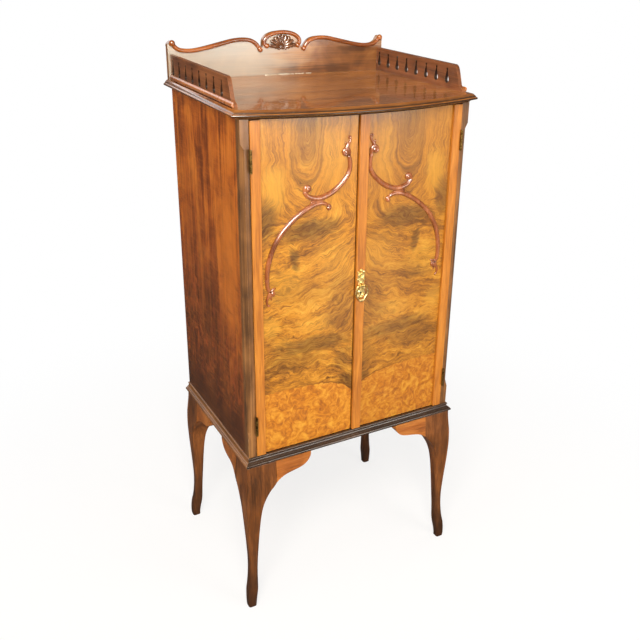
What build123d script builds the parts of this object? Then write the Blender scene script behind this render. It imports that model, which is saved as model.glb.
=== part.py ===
"""Music cabinet on cabriole legs, every piece modelled as its own solid. Millimetres, +Z up."""
import os
from math import cos, radians, sin

from build123d import *

os.makedirs("parts", exist_ok=True)

# Case: overall width and depth, and where its front and back faces stand
CASE_W = 530.0
CASE_D = 390.0
CASE_FRONT = -171.0
CASE_BACK = CASE_FRONT + CASE_D
HALF_W = CASE_W / 2

# Heights above the floor
LEG_TOP = 387.0
BASE_T = 22.0
BASE_TOP = LEG_TOP + BASE_T
CASE_H = 743.5
CASE_TOP = BASE_TOP + CASE_H
TOP_T = 18.0
TOP_TOP = CASE_TOP + TOP_T

# Case boards
SIDE_T = 18.0
OPENING_HALF = HALF_W - SIDE_T
STILE_D = 20.0
CHAMFER = 8.0
CHAMFER_LOW = BASE_TOP + 62.0
CHAMFER_HIGH = CASE_TOP - 58.0
CHAMFER_STOP = 16.0
BOTTOM_T = 18.0
BACK_T = 9.0
REBATE = 9.0
RAIL_T = 18.0
RAIL_W = 45.0
DOOR_SEAT = 0.5

# Base frame rails
BASE_RAIL_IN = 64.0
BASE_LIP = 7.0

# Legs and knee blocks
LEG_BLOCK = 69.0
LEG_FACE_X = HALF_W + BASE_LIP
LEG_FACE_Y = CASE_FRONT - BASE_LIP
LEG_BACK_Y = CASE_BACK - 5.5
KNEE_Z = 331.0
KNEE_T = 28.0
KNEE_BULGE = 4.5
KNEE_FADE = 45.0
# height, how far the outer faces stand out past the block, width of the square section, corner radius
LEG_LOWER = [
    (0.0, 8.4, 19.5, 5.0),
    (9.0, 9.5, 21.0, 6.0),
    (25.0, 9.5, 23.0, 6.5),
    (45.0, 7.8, 24.5, 6.5),
    (62.0, 4.6, 22.8, 6.0),
    (82.0, 2.2, 21.0, 5.5),
    (105.0, 0.6, 20.4, 5.5),
    (135.0, 0.0, 21.6, 5.5),
    (165.0, 1.0, 24.4, 6.0),
    (200.0, 2.5, 28.0, 6.5),
    (240.0, 4.4, 33.0, 7.0),
    (270.0, 5.4, 38.6, 7.0),
    (292.0, 5.8, 46.5, 6.0),
    (312.0, 5.4, 58.0, 4.0),
    (KNEE_Z, KNEE_BULGE, LEG_BLOCK + KNEE_BULGE, 2.0),
]
LEG_UPPER = [
    (KNEE_Z, KNEE_BULGE, 2.0),
    (350.0, 2.6, 2.0),
    (372.0, 0.6, 2.0),
    (LEG_TOP, 0.0, 2.0),
]
# distance from the leg block and height of the lower edge of a knee block
KNEE_EDGE = [
    (0.0, 332.0),
    (8.0, 337.5),
    (19.0, 342.5),
    (34.0, 346.0),
    (50.0, 349.0),
    (62.0, 352.0),
    (72.0, 356.5),
    (80.0, 363.5),
    (85.0, 371.0),
    (87.5, 378.0),
]

# Top board: side overhang, bow of the front edge, back overhang
TOP_SIDE = 17.0
TOP_CORNER = 6.0
TOP_BACK = 4.0
BOW = 46.0
TOP_HALF = HALF_W + TOP_SIDE
TOP_CORNER_Y = CASE_FRONT - TOP_CORNER
TOP_NOSE_Y = TOP_CORNER_Y - BOW
BOW_R = (TOP_HALF**2 + BOW**2) / (2 * BOW)
TOP_REAR_Y = CASE_BACK + TOP_BACK

# Gallery
BOARD_T = 13.0
BOARD_HALF = 272.0
BOARD_FACE = TOP_REAR_Y - BOARD_T
BEAD_R = 4.7
BEAD_SINK = 1.0
BALL_R = 5.2
KNOB_R = 7.5
KNOB_X = BOARD_HALF - 9.0
BOARD_H = 98.0
BOARD_RISE = 2.6
FAN_Z = BOARD_H - 33.0
KNOB_H = BOARD_H - 20.0
FRET_T = 8.0
FRET_IN = BOARD_HALF - 13.2
FRET_OUT = FRET_IN + FRET_T
FRET_FRONT = -150.0
FRET_H = 54.0
FRET_BEAD_H = 11.0
FRET_BEAD_T = 4.6
HOLES = 8
HOLE_PITCH = 41.0
HOLE_LAST = 196.0

# Doors
DOOR_GAP = 1.0
DOOR_FOOT = 1.5
DOOR_HEAD = 2.5
DOOR_Z0 = BASE_TOP + DOOR_FOOT
DOOR_Z1 = CASE_TOP - DOOR_HEAD
MEET_X = -7.0
MEET_GAP = 2.0
CORE_T = 16.0
VENEER_T = 1.0
STRIP_T = 6.0
STRIP_W = 21.0
MEET_STRIP_W = 22.0
DOOR_BACK = CASE_FRONT + STILE_D
CORE_FACE = DOOR_BACK - CORE_T
VENEER_FACE = CORE_FACE - VENEER_T
STRIP_FACE = VENEER_FACE - STRIP_T
LEFT_IN = MEET_X - MEET_GAP / 2
RIGHT_IN = MEET_X + MEET_GAP / 2
DOOR_OUT = OPENING_HALF - DOOR_GAP

# Butt hinges
HINGE_H = 45.0
HINGE_FOOT = 77.5
HINGE_HEAD = 77.0
HINGE_ZS = (DOOR_Z0 + HINGE_FOOT, DOOR_Z1 - HINGE_HEAD)
PIN_X = OPENING_HALF - DOOR_GAP / 2
PIN_Y = STRIP_FACE - 3.0
KNUCKLE_R = 2.7
PIN_R = 1.2
PIN_PLAY = 0.35
KNUCKLE_GAP = 0.4
MID_KNUCKLE = 14.6
LEAF_IN = 0.4
LEAF_T = 1.2
LEAF_START = 3.2
LEAF_END = 19.0
SCREW_IN = 14.0
SCREW_DZ = 14.0
SCREW_HEAD_R = 2.4
SCREW_R = 1.4
SCREW_L = 11.0

# Shelves
SHELVES = 4
SHELF_T = 12.0
SHELF_FRONT = -132.0
SHELF_SIDE_GAP = 0.5
RUNNER_W = 12.0
RUNNER_H = 14.0

# Lock, its strike and the door bolts
LOCK_X = 5.0
LOCK_UP = 347.5
LOCK_Z = DOOR_Z0 + LOCK_UP
LOCK_W = 36.0
LOCK_H = 38.0
LOCK_T = 10.0
BOLT_T = 4.2
BOLT_H = 10.0
BOLT_Z = LOCK_Z + 9.0
BOLT_Y = DOOR_BACK - 5.0
BOLT_L = 24.0
BOLT_THROW = 9.0
PLAY = 0.35
STRIKE_T = 1.5
STRIKE_H = 32.0
STRIKE_D = 11.0
KEY_R = 2.2
KEY_SLOT = 2.0
KEY_DROP = 7.0
ROD_R = 3.0
ROD_L = 70.0
ROD_X = -25.0
ROD_Y = DOOR_BACK + 6.4
ROD_THROW = 12.0
ROD_CLEAR = 1.5
PLATE_W = 16.0
PLATE_T = 2.0

# Escutcheon and drop ring
PLATE_FACE = STRIP_FACE - 2.2
RING_Z = LOCK_Z + 18.0
RING_Y = STRIP_FACE - 6.0
RING_R = 1.6
LUG_R = 3.6
LUG_T = 2.0
LUG_X = 3.2


def block(x0, x1, y0, y1, z0, z1):
    """A box between two corners."""
    size = Box(x1 - x0, y1 - y0, z1 - z0)
    return Pos((x0 + x1) / 2, (y0 + y1) / 2, (z0 + z1) / 2) * size


def ball(x, y, z, radius):
    """A sphere with its poles front and back."""
    return Pos(x, y, z) * Rot(90, 0, 0) * Sphere(radius)


def rod(x, y, z, radius, length, axis):
    """A cylinder centred on a point, along one axis."""
    turn = {"x": Rot(0, 90, 0), "y": Rot(90, 0, 0), "z": Rot(0, 0, 0)}[axis]
    return Pos(x, y, z) * turn * Cylinder(radius, length)


def flip_x(shape):
    """The same piece for the other side of the cabinet."""
    return mirror(shape, about=Plane.YZ)


def flip_y(shape):
    """The same piece from the front legs to the back legs."""
    middle = (LEG_FACE_Y + LEG_BACK_Y) / 2
    return mirror(shape, about=Plane.XZ.offset(-middle))


def save(name, *pieces):
    """Write one named node, of one solid or of several alike."""
    solids = []
    for piece in pieces:
        solids.extend(piece.solids())
    shape = solids[0] if len(solids) == 1 else Compound(children=solids)
    export_step(shape, os.path.join("parts", name + ".step"))


# Case

def side_panel():
    """Left side board with a rebate for the back."""
    board = block(-HALF_W, -OPENING_HALF, DOOR_BACK, CASE_BACK, BASE_TOP, CASE_TOP)
    rebate = block(-OPENING_HALF - REBATE, 0, CASE_BACK - BACK_T, CASE_BACK + 1, 0, CASE_TOP + 1)
    return board - rebate


def chamfer_slice(z, cut):
    """Corner triangle of the stile's chamfer at one height."""
    x = -HALF_W - 1
    y = CASE_FRONT - 1
    corners = [(x, y), (x + cut + 2, y), (x, y + cut + 2)]
    return Pos(0, 0, z) * make_face(Polyline(*corners, close=True))


def stile():
    """Left front stile, stop-chamfered, mortised for the hinge leaves."""
    post = block(-HALF_W, -OPENING_HALF, CASE_FRONT, DOOR_BACK, BASE_TOP, CASE_TOP)
    main = extrude(chamfer_slice(CHAMFER_LOW, CHAMFER), CHAMFER_HIGH - CHAMFER_LOW, dir=(0, 0, 1))
    low = loft([chamfer_slice(CHAMFER_LOW - CHAMFER_STOP, -1), chamfer_slice(CHAMFER_LOW, CHAMFER)])
    high = loft([chamfer_slice(CHAMFER_HIGH, CHAMFER), chamfer_slice(CHAMFER_HIGH + CHAMFER_STOP, -1)])
    post = post - main - low - high
    for z in HINGE_ZS:
        post = post - leaf(z, -1) - leaf_screws(z, -1)
    return post


def back_panel():
    """Thin back board in the rebates."""
    half = OPENING_HALF + REBATE
    return block(-half, half, CASE_BACK - BACK_T, CASE_BACK, BASE_TOP, CASE_TOP)


def case_bottom():
    """Bottom board, with the hole that keeps the lower door bolt."""
    front = DOOR_BACK + DOOR_SEAT
    board = block(-OPENING_HALF, OPENING_HALF, front, CASE_BACK - BACK_T, BASE_TOP, BASE_TOP + BOTTOM_T)
    return board - rod(ROD_X, ROD_Y, BASE_TOP + BOTTOM_T, ROD_R + PLAY, 2 * ROD_THROW, "z")


def top_rail_front():
    """Rail under the top, with the hole that keeps the upper door bolt."""
    front = DOOR_BACK + DOOR_SEAT
    rail = block(-OPENING_HALF, OPENING_HALF, front, front + RAIL_W, CASE_TOP - RAIL_T, CASE_TOP)
    return rail - rod(ROD_X, ROD_Y, CASE_TOP - RAIL_T, ROD_R + PLAY, 2 * ROD_THROW, "z")


def top_rail_back():
    """Rail under the top at the back."""
    rear = CASE_BACK - BACK_T
    return block(-OPENING_HALF, OPENING_HALF, rear - RAIL_W, rear, CASE_TOP - RAIL_T, CASE_TOP)


# Base frame

def base_section(inward):
    """Moulded edge of the base frame: distance out from the case face, height."""
    edges = [
        Line((-inward, 0), (BASE_LIP, 0)),
        Line((BASE_LIP, 0), (BASE_LIP, 1.6)),
        ThreePointArc((BASE_LIP, 1.6), (11.0, 5.2), (BASE_LIP, 8.8)),
        Line((BASE_LIP, 8.8), (6.2, 9.6)),
        Line((6.2, 9.6), (6.2, 11.0)),
        ThreePointArc((6.2, 11.0), (3.2, 13.2), (2.4, 17.2)),
        Line((2.4, 17.2), (3.4, 18.0)),
        ThreePointArc((3.4, 18.0), (3.3, 20.9), (1.2, BASE_T)),
        Line((1.2, BASE_T), (-inward, BASE_T)),
        Line((-inward, BASE_T), (-inward, 0)),
    ]
    return make_face(Wire(edges))


def base_rail_front():
    """Moulded front rail, mitred at both ends."""
    reach = HALF_W + 30
    plane = Plane(origin=(-reach, CASE_FRONT, LEG_TOP), x_dir=(0, -1, 0), z_dir=(-1, 0, 0))
    bar = extrude(plane * base_section(BASE_RAIL_IN), -2 * reach)
    out = 30.0
    plan = [
        (-HALF_W - out, CASE_FRONT - out),
        (HALF_W + out, CASE_FRONT - out),
        (HALF_W - BASE_RAIL_IN, CASE_FRONT + BASE_RAIL_IN),
        (-HALF_W + BASE_RAIL_IN, CASE_FRONT + BASE_RAIL_IN),
    ]
    mitre = extrude(make_face(Polyline(*plan, close=True)), 500, dir=(0, 0, 1))
    return bar & mitre


def base_rail_side():
    """Moulded left rail, mitred at the front."""
    out = 30.0
    plane = Plane(origin=(-HALF_W, CASE_FRONT - out, LEG_TOP), x_dir=(-1, 0, 0), z_dir=(0, 1, 0))
    bar = extrude(plane * base_section(BASE_RAIL_IN), CASE_D + out)
    plan = [
        (-HALF_W - out, CASE_FRONT - out),
        (-HALF_W + BASE_RAIL_IN, CASE_FRONT + BASE_RAIL_IN),
        (-HALF_W + BASE_RAIL_IN, CASE_BACK),
        (-HALF_W - out, CASE_BACK),
    ]
    mitre = extrude(make_face(Polyline(*plan, close=True)), 500, dir=(0, 0, 1))
    return bar & mitre


def base_rail_back():
    """Plain back rail between the side rails."""
    half = HALF_W - BASE_RAIL_IN
    return block(-half, half, CASE_BACK - BASE_RAIL_IN, CASE_BACK, LEG_TOP, BASE_TOP)


# Legs

def leg_slice(z, out, width, radius):
    """Rounded square section of the front left leg at one height."""
    x = -LEG_FACE_X - out + width / 2
    y = LEG_FACE_Y - out + width / 2
    return Pos(x, y, z) * RectangleRounded(width, width, radius)


def leg():
    """Front left cabriole leg with its square block."""
    lower = loft([leg_slice(*row) for row in LEG_LOWER])
    upper = loft([leg_slice(z, out, LEG_BLOCK + out, radius) for z, out, radius in LEG_UPPER])
    return lower + upper


def knee_slice(along, edge):
    """Section of a knee block at one distance from the leg block."""
    fade = max(0.0, 1 - along / KNEE_FADE)
    out = KNEE_BULGE * fade * fade
    x = -LEG_FACE_X + LEG_BLOCK + along
    corners = [
        (x, LEG_FACE_Y, LEG_TOP),
        (x, LEG_FACE_Y - out, edge),
        (x, LEG_FACE_Y + KNEE_T, edge),
        (x, LEG_FACE_Y + KNEE_T, LEG_TOP),
    ]
    return make_face(Polyline(*corners, close=True))


def knee_block():
    """Knee block on the front of the front left leg."""
    return loft([knee_slice(*row) for row in KNEE_EDGE])


def knee_pair():
    """Both knee blocks of the front left leg, mirrored over its diagonal."""
    front = knee_block()
    diagonal = Plane(origin=(-LEG_FACE_X, LEG_FACE_Y, 0), z_dir=(1, -1, 0))
    return front, mirror(front, about=diagonal)


# Top board

# moulded edge of the top, upwards: straight arrises and the arcs between them as (inset, height)
TOP_ARCS = [
    [(14.0, 0.0), (9.6, 4.2), (2.4, 6.0)],
    [(1.4, 6.0), (0.0, 8.2), (1.2, 10.4)],
    [(2.4, 11.0), (5.0, 13.6), (8.0, 17.4)],
    [(8.7, TOP_T)],
]


def top_edge(place, pieces):
    """Points of the moulded edge, each arc in pieces, turned into sketch points by place."""
    points = []
    for run in TOP_ARCS:
        if len(run) == 1:
            points.append(place(*run[0]))
            continue
        arc = ThreePointArc(*run)
        for step in range(pieces + 1):
            at = arc @ (step / pieces)
            points.append(place(at.X, at.Y))
    return points


def top_board():
    """Bow-fronted top with a moulded edge on the front and both sides."""
    left = top_edge(lambda inset, height: (inset - TOP_HALF, height), 6)
    right = top_edge(lambda inset, height: (TOP_HALF - inset, height), 6)
    section = make_face(Polyline(*left, *reversed(right), close=True))
    plane = Plane(origin=(0, TOP_REAR_Y, CASE_TOP), x_dir=(1, 0, 0), z_dir=(0, -1, 0))
    slab = extrude(plane * section, TOP_REAR_Y - TOP_NOSE_Y + 10)
    edge = top_edge(lambda inset, height: (BOW_R - inset, height), 6)
    outer = [(BOW_R - 8.7, TOP_T + 5), (BOW_R + 60, TOP_T + 5), (BOW_R + 60, -5), (BOW_R - 14.0, -5)]
    waste = make_face(Polyline(*edge, *outer, close=True))
    centre = TOP_NOSE_Y + BOW_R
    axis = Axis((0, centre, 0), (0, 0, 1))
    plane = Plane(origin=(0, centre, CASE_TOP), x_dir=(0, -1, 0), z_dir=(-1, 0, 0))
    swing = 30.0
    cutter = revolve((plane * waste).rotate(axis, -swing), axis, 2 * swing)
    return slab - cutter


# Gallery

# half of the line of the applied bead: shares of the back board's half width and height
BEAD_LINE = [
    (0.95956, 0.76531),
    (0.91912, 0.66327),
    (0.86397, 0.62653),
    (0.79044, 0.62551),
    (0.69853, 0.66327),
    (0.60662, 0.71735),
    (0.51471, 0.77347),
    (0.43382, 0.81837),
    (0.36029, 0.83061),
    (0.29412, 0.80816),
    (0.24632, 0.74082),
    (0.21691, 0.64796),
    (0.20588, 0.59694),
]
# half of the line of the raised arch in the middle, in the same shares
ARCH_LINE = [
    (0.14522, 0.67143),
    (0.16324, 0.72449),
    (0.16397, 0.79082),
    (0.14559, 0.86327),
    (0.11029, 0.92245),
    (0.05882, 0.96122),
    (0.00000, 0.97347),
]


def on_board(shares):
    """Places on the back board from shares of its half width and height."""
    return [(x * BOARD_HALF, z * BOARD_H) for x, z in shares]


def gallery_back_board():
    """Serpentine back board of the gallery."""
    half = BOARD_HALF
    shoulder, dip, notch, neck, waist = on_board([(1, 0.714), (0.9375, 0.7306), (0.1912, 0.602), (0.1772, 0.6735), (0.1728, 0.801)])
    ear = [(half, 0), shoulder]
    scroll = [shoulder, (half - 2.5, KNOB_H + 1), (KNOB_X, KNOB_H + 4), (KNOB_X - 5, KNOB_H), dip]
    wave = [dip] + [(x, z + BOARD_RISE) for x, z in on_board(BEAD_LINE[1:-1])] + [notch]
    arch = [notch, neck, waist] + [(x * 1.04, z + BOARD_RISE) for x, z in on_board(ARCH_LINE[3:])]
    edges = []
    for sign in (1, -1):
        line = [(sign * x, z) for x, z in ear]
        edges.append(Line(*line))
        for run in (scroll, wave, arch):
            edges.append(Spline(*[(sign * x, z) for x, z in run]))
    edges.append(Line((-half, 0), (half, 0)))
    face = make_face(Wire(edges))
    plane = Plane(origin=(0, BOARD_FACE, TOP_TOP), x_dir=(1, 0, 0), z_dir=(0, -1, 0))
    return extrude(plane * face, -BOARD_T)


def front_of(shape, y):
    """The part of a piece that stands in front of a face."""
    return shape - block(-TOP_HALF, TOP_HALF, y, y + STRIP_W, BASE_TOP, TOP_TOP + 2 * BOARD_H)


def bead(points, y):
    """Round bead along a line on the back board, before it is planed to the face."""
    path = Spline(*[(x, y, TOP_TOP + z) for x, z in points])
    start = Plane(origin=path @ 0, x_dir=(0, 1, 0), z_dir=path % 0)
    return sweep(start * Circle(BEAD_R), path=path)


def gallery_bead_side():
    """Left serpentine bead with its end knob and ball."""
    y = BOARD_FACE - BEAD_SINK
    line = [(-x, z) for x, z in on_board(BEAD_LINE)]
    knob = ball(-KNOB_X, BOARD_FACE - 3.5, TOP_TOP + KNOB_H, KNOB_R)
    end_x, end_z = line[-1]
    end = ball(end_x, BOARD_FACE - 2.4, TOP_TOP + end_z, BALL_R)
    return front_of(bead(line, y) + knob + end, BOARD_FACE)


def gallery_bead_arch():
    """Raised arch over the shell, ending in two balls."""
    y = BOARD_FACE - BEAD_SINK
    half = on_board(ARCH_LINE)
    arch = bead(half + [(-x, z) for x, z in half[-2::-1]], y)
    for side in (1, -1):
        x, z = half[0]
        arch = arch + ball(side * x, BOARD_FACE - 2.4, TOP_TOP + z, BALL_R)
    return front_of(arch, BOARD_FACE)


def crest_carving():
    """Fan of seven petals under the arch."""
    fan = None
    for number in range(7):
        turn = 24.0 + 22.0 * number
        length = 18.0 + 3.0 * sin(radians(turn))
        petal = Pos(0, 0, length / 2) * Cone(1.6, 4.0, length) + Pos(0, 0, length) * Sphere(4.0)
        petal = Rot(0, 90 - turn, 0) * petal
        fan = petal if fan is None else fan + petal
    fan = fan + Sphere(5.0)
    return front_of(Pos(0, BOARD_FACE - 0.6, TOP_TOP + FAN_Z) * fan, BOARD_FACE)


def keyhole(y):
    """Keyhole piercing of the side gallery at one place along it."""
    big = Pos(y, 18.5) * Circle(7.0)
    neck = make_face(Polyline((y - 6.4, 21.5), (y + 6.4, 21.5), (y + 1.5, 40.0), (y - 1.5, 40.0), close=True))
    small = Pos(y, 41.5) * Circle(3.3)
    return big + neck + small


def fret():
    """Left pierced side gallery board."""
    front = FRET_FRONT
    nose = [(front, 0), (front, 4.0), (front + 3.5, 7.5), (front + 9.0, 10.0), (front + 13.5, 16.0)]
    slope = [nose[-1], (front + 17.5, 27.0), (front + 22.5, 41.0), (front + 28.0, 50.5), (front + 36.0, FRET_H)]
    edges = [
        Line(nose[0], nose[1]),
        Spline(*nose[1:]),
        Spline(*slope),
        Line(slope[-1], (BOARD_FACE, FRET_H)),
        Line((BOARD_FACE, FRET_H), (BOARD_FACE, 0)),
        Line((BOARD_FACE, 0), nose[0]),
    ]
    face = make_face(Wire(edges))
    for number in range(HOLES):
        face = face - keyhole(HOLE_LAST - HOLE_PITCH * number)
    plane = Plane(origin=(-FRET_IN, 0, TOP_TOP), x_dir=(0, 1, 0), z_dir=(1, 0, 0))
    return extrude(plane * face, -FRET_T)


def fret_bead():
    """Half-round moulding along the outer foot of the left fret."""
    edges = [
        Line((0, 0), (0, FRET_BEAD_H)),
        ThreePointArc((0, FRET_BEAD_H), (FRET_BEAD_T, FRET_BEAD_H / 2), (0, 0)),
    ]
    plane = Plane(origin=(-FRET_OUT, FRET_FRONT, TOP_TOP), x_dir=(-1, 0, 0), z_dir=(0, 1, 0))
    return extrude(plane * make_face(Wire(edges)), BOARD_FACE - FRET_FRONT)


# Hinges

def leaf(z, side):
    """Plate of a left hinge: side -1 lies on the stile, 1 on the door."""
    near = PIN_Y + LEAF_START
    far = PIN_Y + LEAF_END
    a = -PIN_X + side * LEAF_IN
    b = -PIN_X + side * (LEAF_IN + LEAF_T)
    return block(min(a, b), max(a, b), near, far, z - HINGE_H / 2, z + HINGE_H / 2)


def leaf_link(z0, z1, side):
    """Strip that joins a leaf to its knuckle."""
    a = -PIN_X + side * LEAF_IN
    b = -PIN_X + side * (LEAF_IN + LEAF_T)
    return block(min(a, b), max(a, b), PIN_Y, PIN_Y + LEAF_START, z0, z1)


def hinge_screw(z, side):
    """Countersunk screw through a leaf of a left hinge."""
    head = Pos(0, 0, LEAF_T / 2) * Cone(SCREW_HEAD_R, SCREW_R, LEAF_T)
    shank = Pos(0, 0, SCREW_L / 2) * Cylinder(SCREW_R, SCREW_L)
    screw = Rot(0, side * 90, 0) * (head + shank)
    return Pos(-PIN_X + side * LEAF_IN, PIN_Y + SCREW_IN, z) * screw


def leaf_screws(z, side):
    """Both screws of one leaf."""
    return hinge_screw(z - SCREW_DZ, side) + hinge_screw(z + SCREW_DZ, side)


def case_half(z):
    """Stile half of a left hinge: leaf, end knuckles and the fixed pin."""
    shape = leaf(z, -1) + rod(-PIN_X, PIN_Y, z, PIN_R, HINGE_H, "z")
    length = (HINGE_H - MID_KNUCKLE) / 2 - KNUCKLE_GAP
    for end in (-1, 1):
        middle = z + end * (HINGE_H - length) / 2
        shape = shape + rod(-PIN_X, PIN_Y, middle, KNUCKLE_R, length, "z")
        shape = shape + leaf_link(middle - length / 2, middle + length / 2, -1)
    return shape - leaf_screws(z, -1)


def door_half(z):
    """Door half of a left hinge: leaf and the middle knuckle."""
    shape = leaf(z, 1) + rod(-PIN_X, PIN_Y, z, KNUCKLE_R, MID_KNUCKLE, "z")
    shape = shape + leaf_link(z - MID_KNUCKLE / 2, z + MID_KNUCKLE / 2, 1)
    bore = rod(-PIN_X, PIN_Y, z, PIN_R + PIN_PLAY, HINGE_H, "z")
    return shape - bore - leaf_screws(z, 1)


def cut_hinges(shape):
    """Mortise a piece of the left door for its hinge leaves and screws."""
    for z in HINGE_ZS:
        link = leaf_link(z - MID_KNUCKLE / 2, z + MID_KNUCKLE / 2, 1)
        knuckle = rod(-PIN_X, PIN_Y, z, KNUCKLE_R, MID_KNUCKLE, "z")
        shape = shape - leaf(z, 1) - link - knuckle - leaf_screws(z, 1)
    return shape


# Lock and bolts

def keyway(y0, y1):
    """Keyhole through the meeting strip and what lies behind it."""
    hole = rod(LOCK_X, (y0 + y1) / 2, LOCK_Z, KEY_R, y1 - y0, "y")
    slot = block(LOCK_X - KEY_SLOT / 2, LOCK_X + KEY_SLOT / 2, y0, y1, LOCK_Z - KEY_DROP, LOCK_Z)
    return hole + slot


def bolt_space(x0, x1, play):
    """Space of the lock bolt between two places, with play all round."""
    y = BOLT_T / 2 + play
    z = BOLT_H / 2 + play
    return block(x0, x1, BOLT_Y - y, BOLT_Y + y, BOLT_Z - z, BOLT_Z + z)


def lock_body(play):
    """Lock case let into the back of the right door at its closing edge."""
    z = LOCK_H / 2 + play
    return block(RIGHT_IN, RIGHT_IN + LOCK_W, DOOR_BACK - LOCK_T, DOOR_BACK, LOCK_Z - z, LOCK_Z + z)


def lock_case():
    """Lock case with the bolt's channel and the keyhole."""
    body = lock_body(0)
    body = body - bolt_space(RIGHT_IN - 1, RIGHT_IN + PLAY + BOLT_L + PLAY, PLAY)
    return body - keyway(DOOR_BACK - LOCK_T - 1, DOOR_BACK - 3)


def lock_bolt():
    """Bolt, drawn back inside the lock."""
    start = RIGHT_IN + PLAY
    return bolt_space(start, start + BOLT_L, 0)


def strike_body():
    """Strike plate let into the closing edge of the left door."""
    y = STRIKE_D / 2
    z = STRIKE_H / 2
    return block(LEFT_IN - STRIKE_T, LEFT_IN, BOLT_Y - y, BOLT_Y + y - 0.5, BOLT_Z - z, BOLT_Z + z)


def strike_plate():
    """Strike plate with the slot for the bolt."""
    return strike_body() - bolt_space(LEFT_IN - 20, LEFT_IN + 1, PLAY)


def bolt_plate(end, up):
    """Plate and two guides of a door bolt: end is the height of the rod's tip, up is 1 or -1."""
    tip = end - up * 15.0
    tail = end - up * 67.0
    low = min(tip, tail)
    high = max(tip, tail)
    y0 = DOOR_BACK
    shape = block(ROD_X - PLATE_W / 2, ROD_X + PLATE_W / 2, y0, y0 + PLATE_T, low, high)
    for z in (end - up * 19.0, end - up * 59.0):
        guide = block(ROD_X - 6, ROD_X + 6, y0 + PLATE_T, ROD_Y + ROD_R + 2.4, z - 4, z + 4)
        shape = shape + guide
    return shape - rod(ROD_X, ROD_Y, (low + high) / 2, ROD_R + PLAY, high - low + 2 * ROD_R, "z")


def door_bolt(end, up):
    """Rod of a door bolt with its finger knob."""
    stem = rod(ROD_X, ROD_Y, end - up * ROD_L / 2, ROD_R, ROD_L, "z")
    knob = rod(ROD_X, ROD_Y + ROD_R + 2.5, end - up * 44.0, 3.0, 6.0, "y")
    return stem + knob


# Doors

def door_core(x0, x1):
    """Core board of a door."""
    return block(x0, x1, CORE_FACE, DOOR_BACK, DOOR_Z0, DOOR_Z1)


def door_veneer(x0, x1):
    """Veneered face of a door."""
    return block(x0, x1, VENEER_FACE, CORE_FACE, DOOR_Z0, DOOR_Z1)


def door_strip(x0, x1):
    """Plain strip planted on the veneer."""
    strip = block(x0, x1, STRIP_FACE, VENEER_FACE, DOOR_Z0, DOOR_Z1)
    edges = strip.edges().filter_by(Axis.Z).group_by(Axis.Y)[0]
    return fillet(edges, 0.8)


# Carved scroll of the left door
SCROLL_AXIS = -2.0
SCROLL_EDGE = 6.65
SCROLL_W = DOOR_OUT - STRIP_W - SCROLL_EDGE + SCROLL_AXIS
SCROLL_HEAD = 45.6
SCROLL_H = 341.4
STEM_R = 5.8
TIE_T = 4.0

# its stems: shares of its width from the axis, of its height from its top and of the largest radius
UPPER_STEM = [
    (0.1364, 0.1081, 0.690),
    (0.1109, 0.1564, 0.759),
    (0.1119, 0.2004, 0.828),
    (0.1364, 0.2384, 0.897),
    (0.1780, 0.2721, 0.948),
    (0.2311, 0.3029, 0.983),
    (0.2958, 0.3307, 1.000),
    (0.3651, 0.3497, 1.000),
    (0.4391, 0.3585, 0.983),
    (0.5084, 0.3515, 0.948),
    (0.5662, 0.3322, 0.862),
    (0.5916, 0.3073, 0.724),
    (0.5755, 0.2897, 0.655),
]
LOWER_STEM = [
    (0.3235, 0.4215, 0.552),
    (0.3605, 0.3981, 0.655),
    (0.4160, 0.3907, 0.759),
    (0.4807, 0.3951, 0.828),
    (0.5547, 0.4127, 0.897),
    (0.6332, 0.4405, 0.931),
    (0.7118, 0.4772, 0.948),
    (0.7858, 0.5182, 0.948),
    (0.8505, 0.5665, 0.931),
    (0.9059, 0.6251, 0.914),
    (0.9475, 0.6924, 0.897),
    (0.9730, 0.7686, 0.862),
    (0.9776, 0.8389, 0.793),
    (0.9679, 0.8828, 0.724),
    (0.9314, 0.9136, 0.621),
]
TAIL_STEM = [
    (0.9291, 0.9253, 0.552),
    (0.9637, 0.9429, 0.621),
    (0.9822, 0.9678, 0.517),
    (0.9706, 0.9971, 0.310),
]
HOOK_STEM = [
    (0.1548, 0.0890, 0.724),
    (0.1340, 0.0510, 0.586),
    (0.1109, 0.0246, 0.414),
    (0.1179, 0.0085, 0.345),
]
SCROLL_BALLS = [
    (0.1572, 0.0964, 1.897, 0.690),
    (0.5570, 0.2941, 1.448, 0.345),
    (0.3189, 0.4303, 1.103, 0.207),
    (0.9198, 0.9194, 1.207, 0.276),
    (0.1225, 0.0100, 0.586, 0.103),
]


def on_door(across, down, y):
    """Place on the left door from shares of the scroll's width and height."""
    return (SCROLL_AXIS - across * SCROLL_W, y, DOOR_Z1 - SCROLL_HEAD - down * SCROLL_H)


def stem(rows):
    """Tapering round stem along a line on the door face."""
    y = VENEER_FACE - 0.6
    points = [on_door(across, down, y) for across, down, _ in rows]
    path = Spline(*points)
    slices = []
    for point, row in zip(points, rows):
        at = path.param_at_point(point)
        plane = Plane(origin=point, x_dir=(0, 1, 0), z_dir=path % at)
        slices.append(plane * Circle(row[2] * STEM_R))
    return loft(slices)


def door_scroll():
    """Carved scrolls of the left door with the tie between them, flat at the back."""
    shape = stem(UPPER_STEM) + stem(LOWER_STEM) + stem(TAIL_STEM) + stem(HOOK_STEM)
    for across, down, radius, sink in SCROLL_BALLS:
        place = on_door(across, down, VENEER_FACE + sink * STEM_R)
        shape = shape + ball(*place, radius * STEM_R)
    outer, _, low = on_door(0.522, 0.397, 0)
    inner, _, high = on_door(0.402, 0.364, 0)
    tie = block(outer, inner, VENEER_FACE - TIE_T, VENEER_FACE + 1, low, high)
    return front_of(shape + tie, VENEER_FACE)


# Escutcheon and ring

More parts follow.
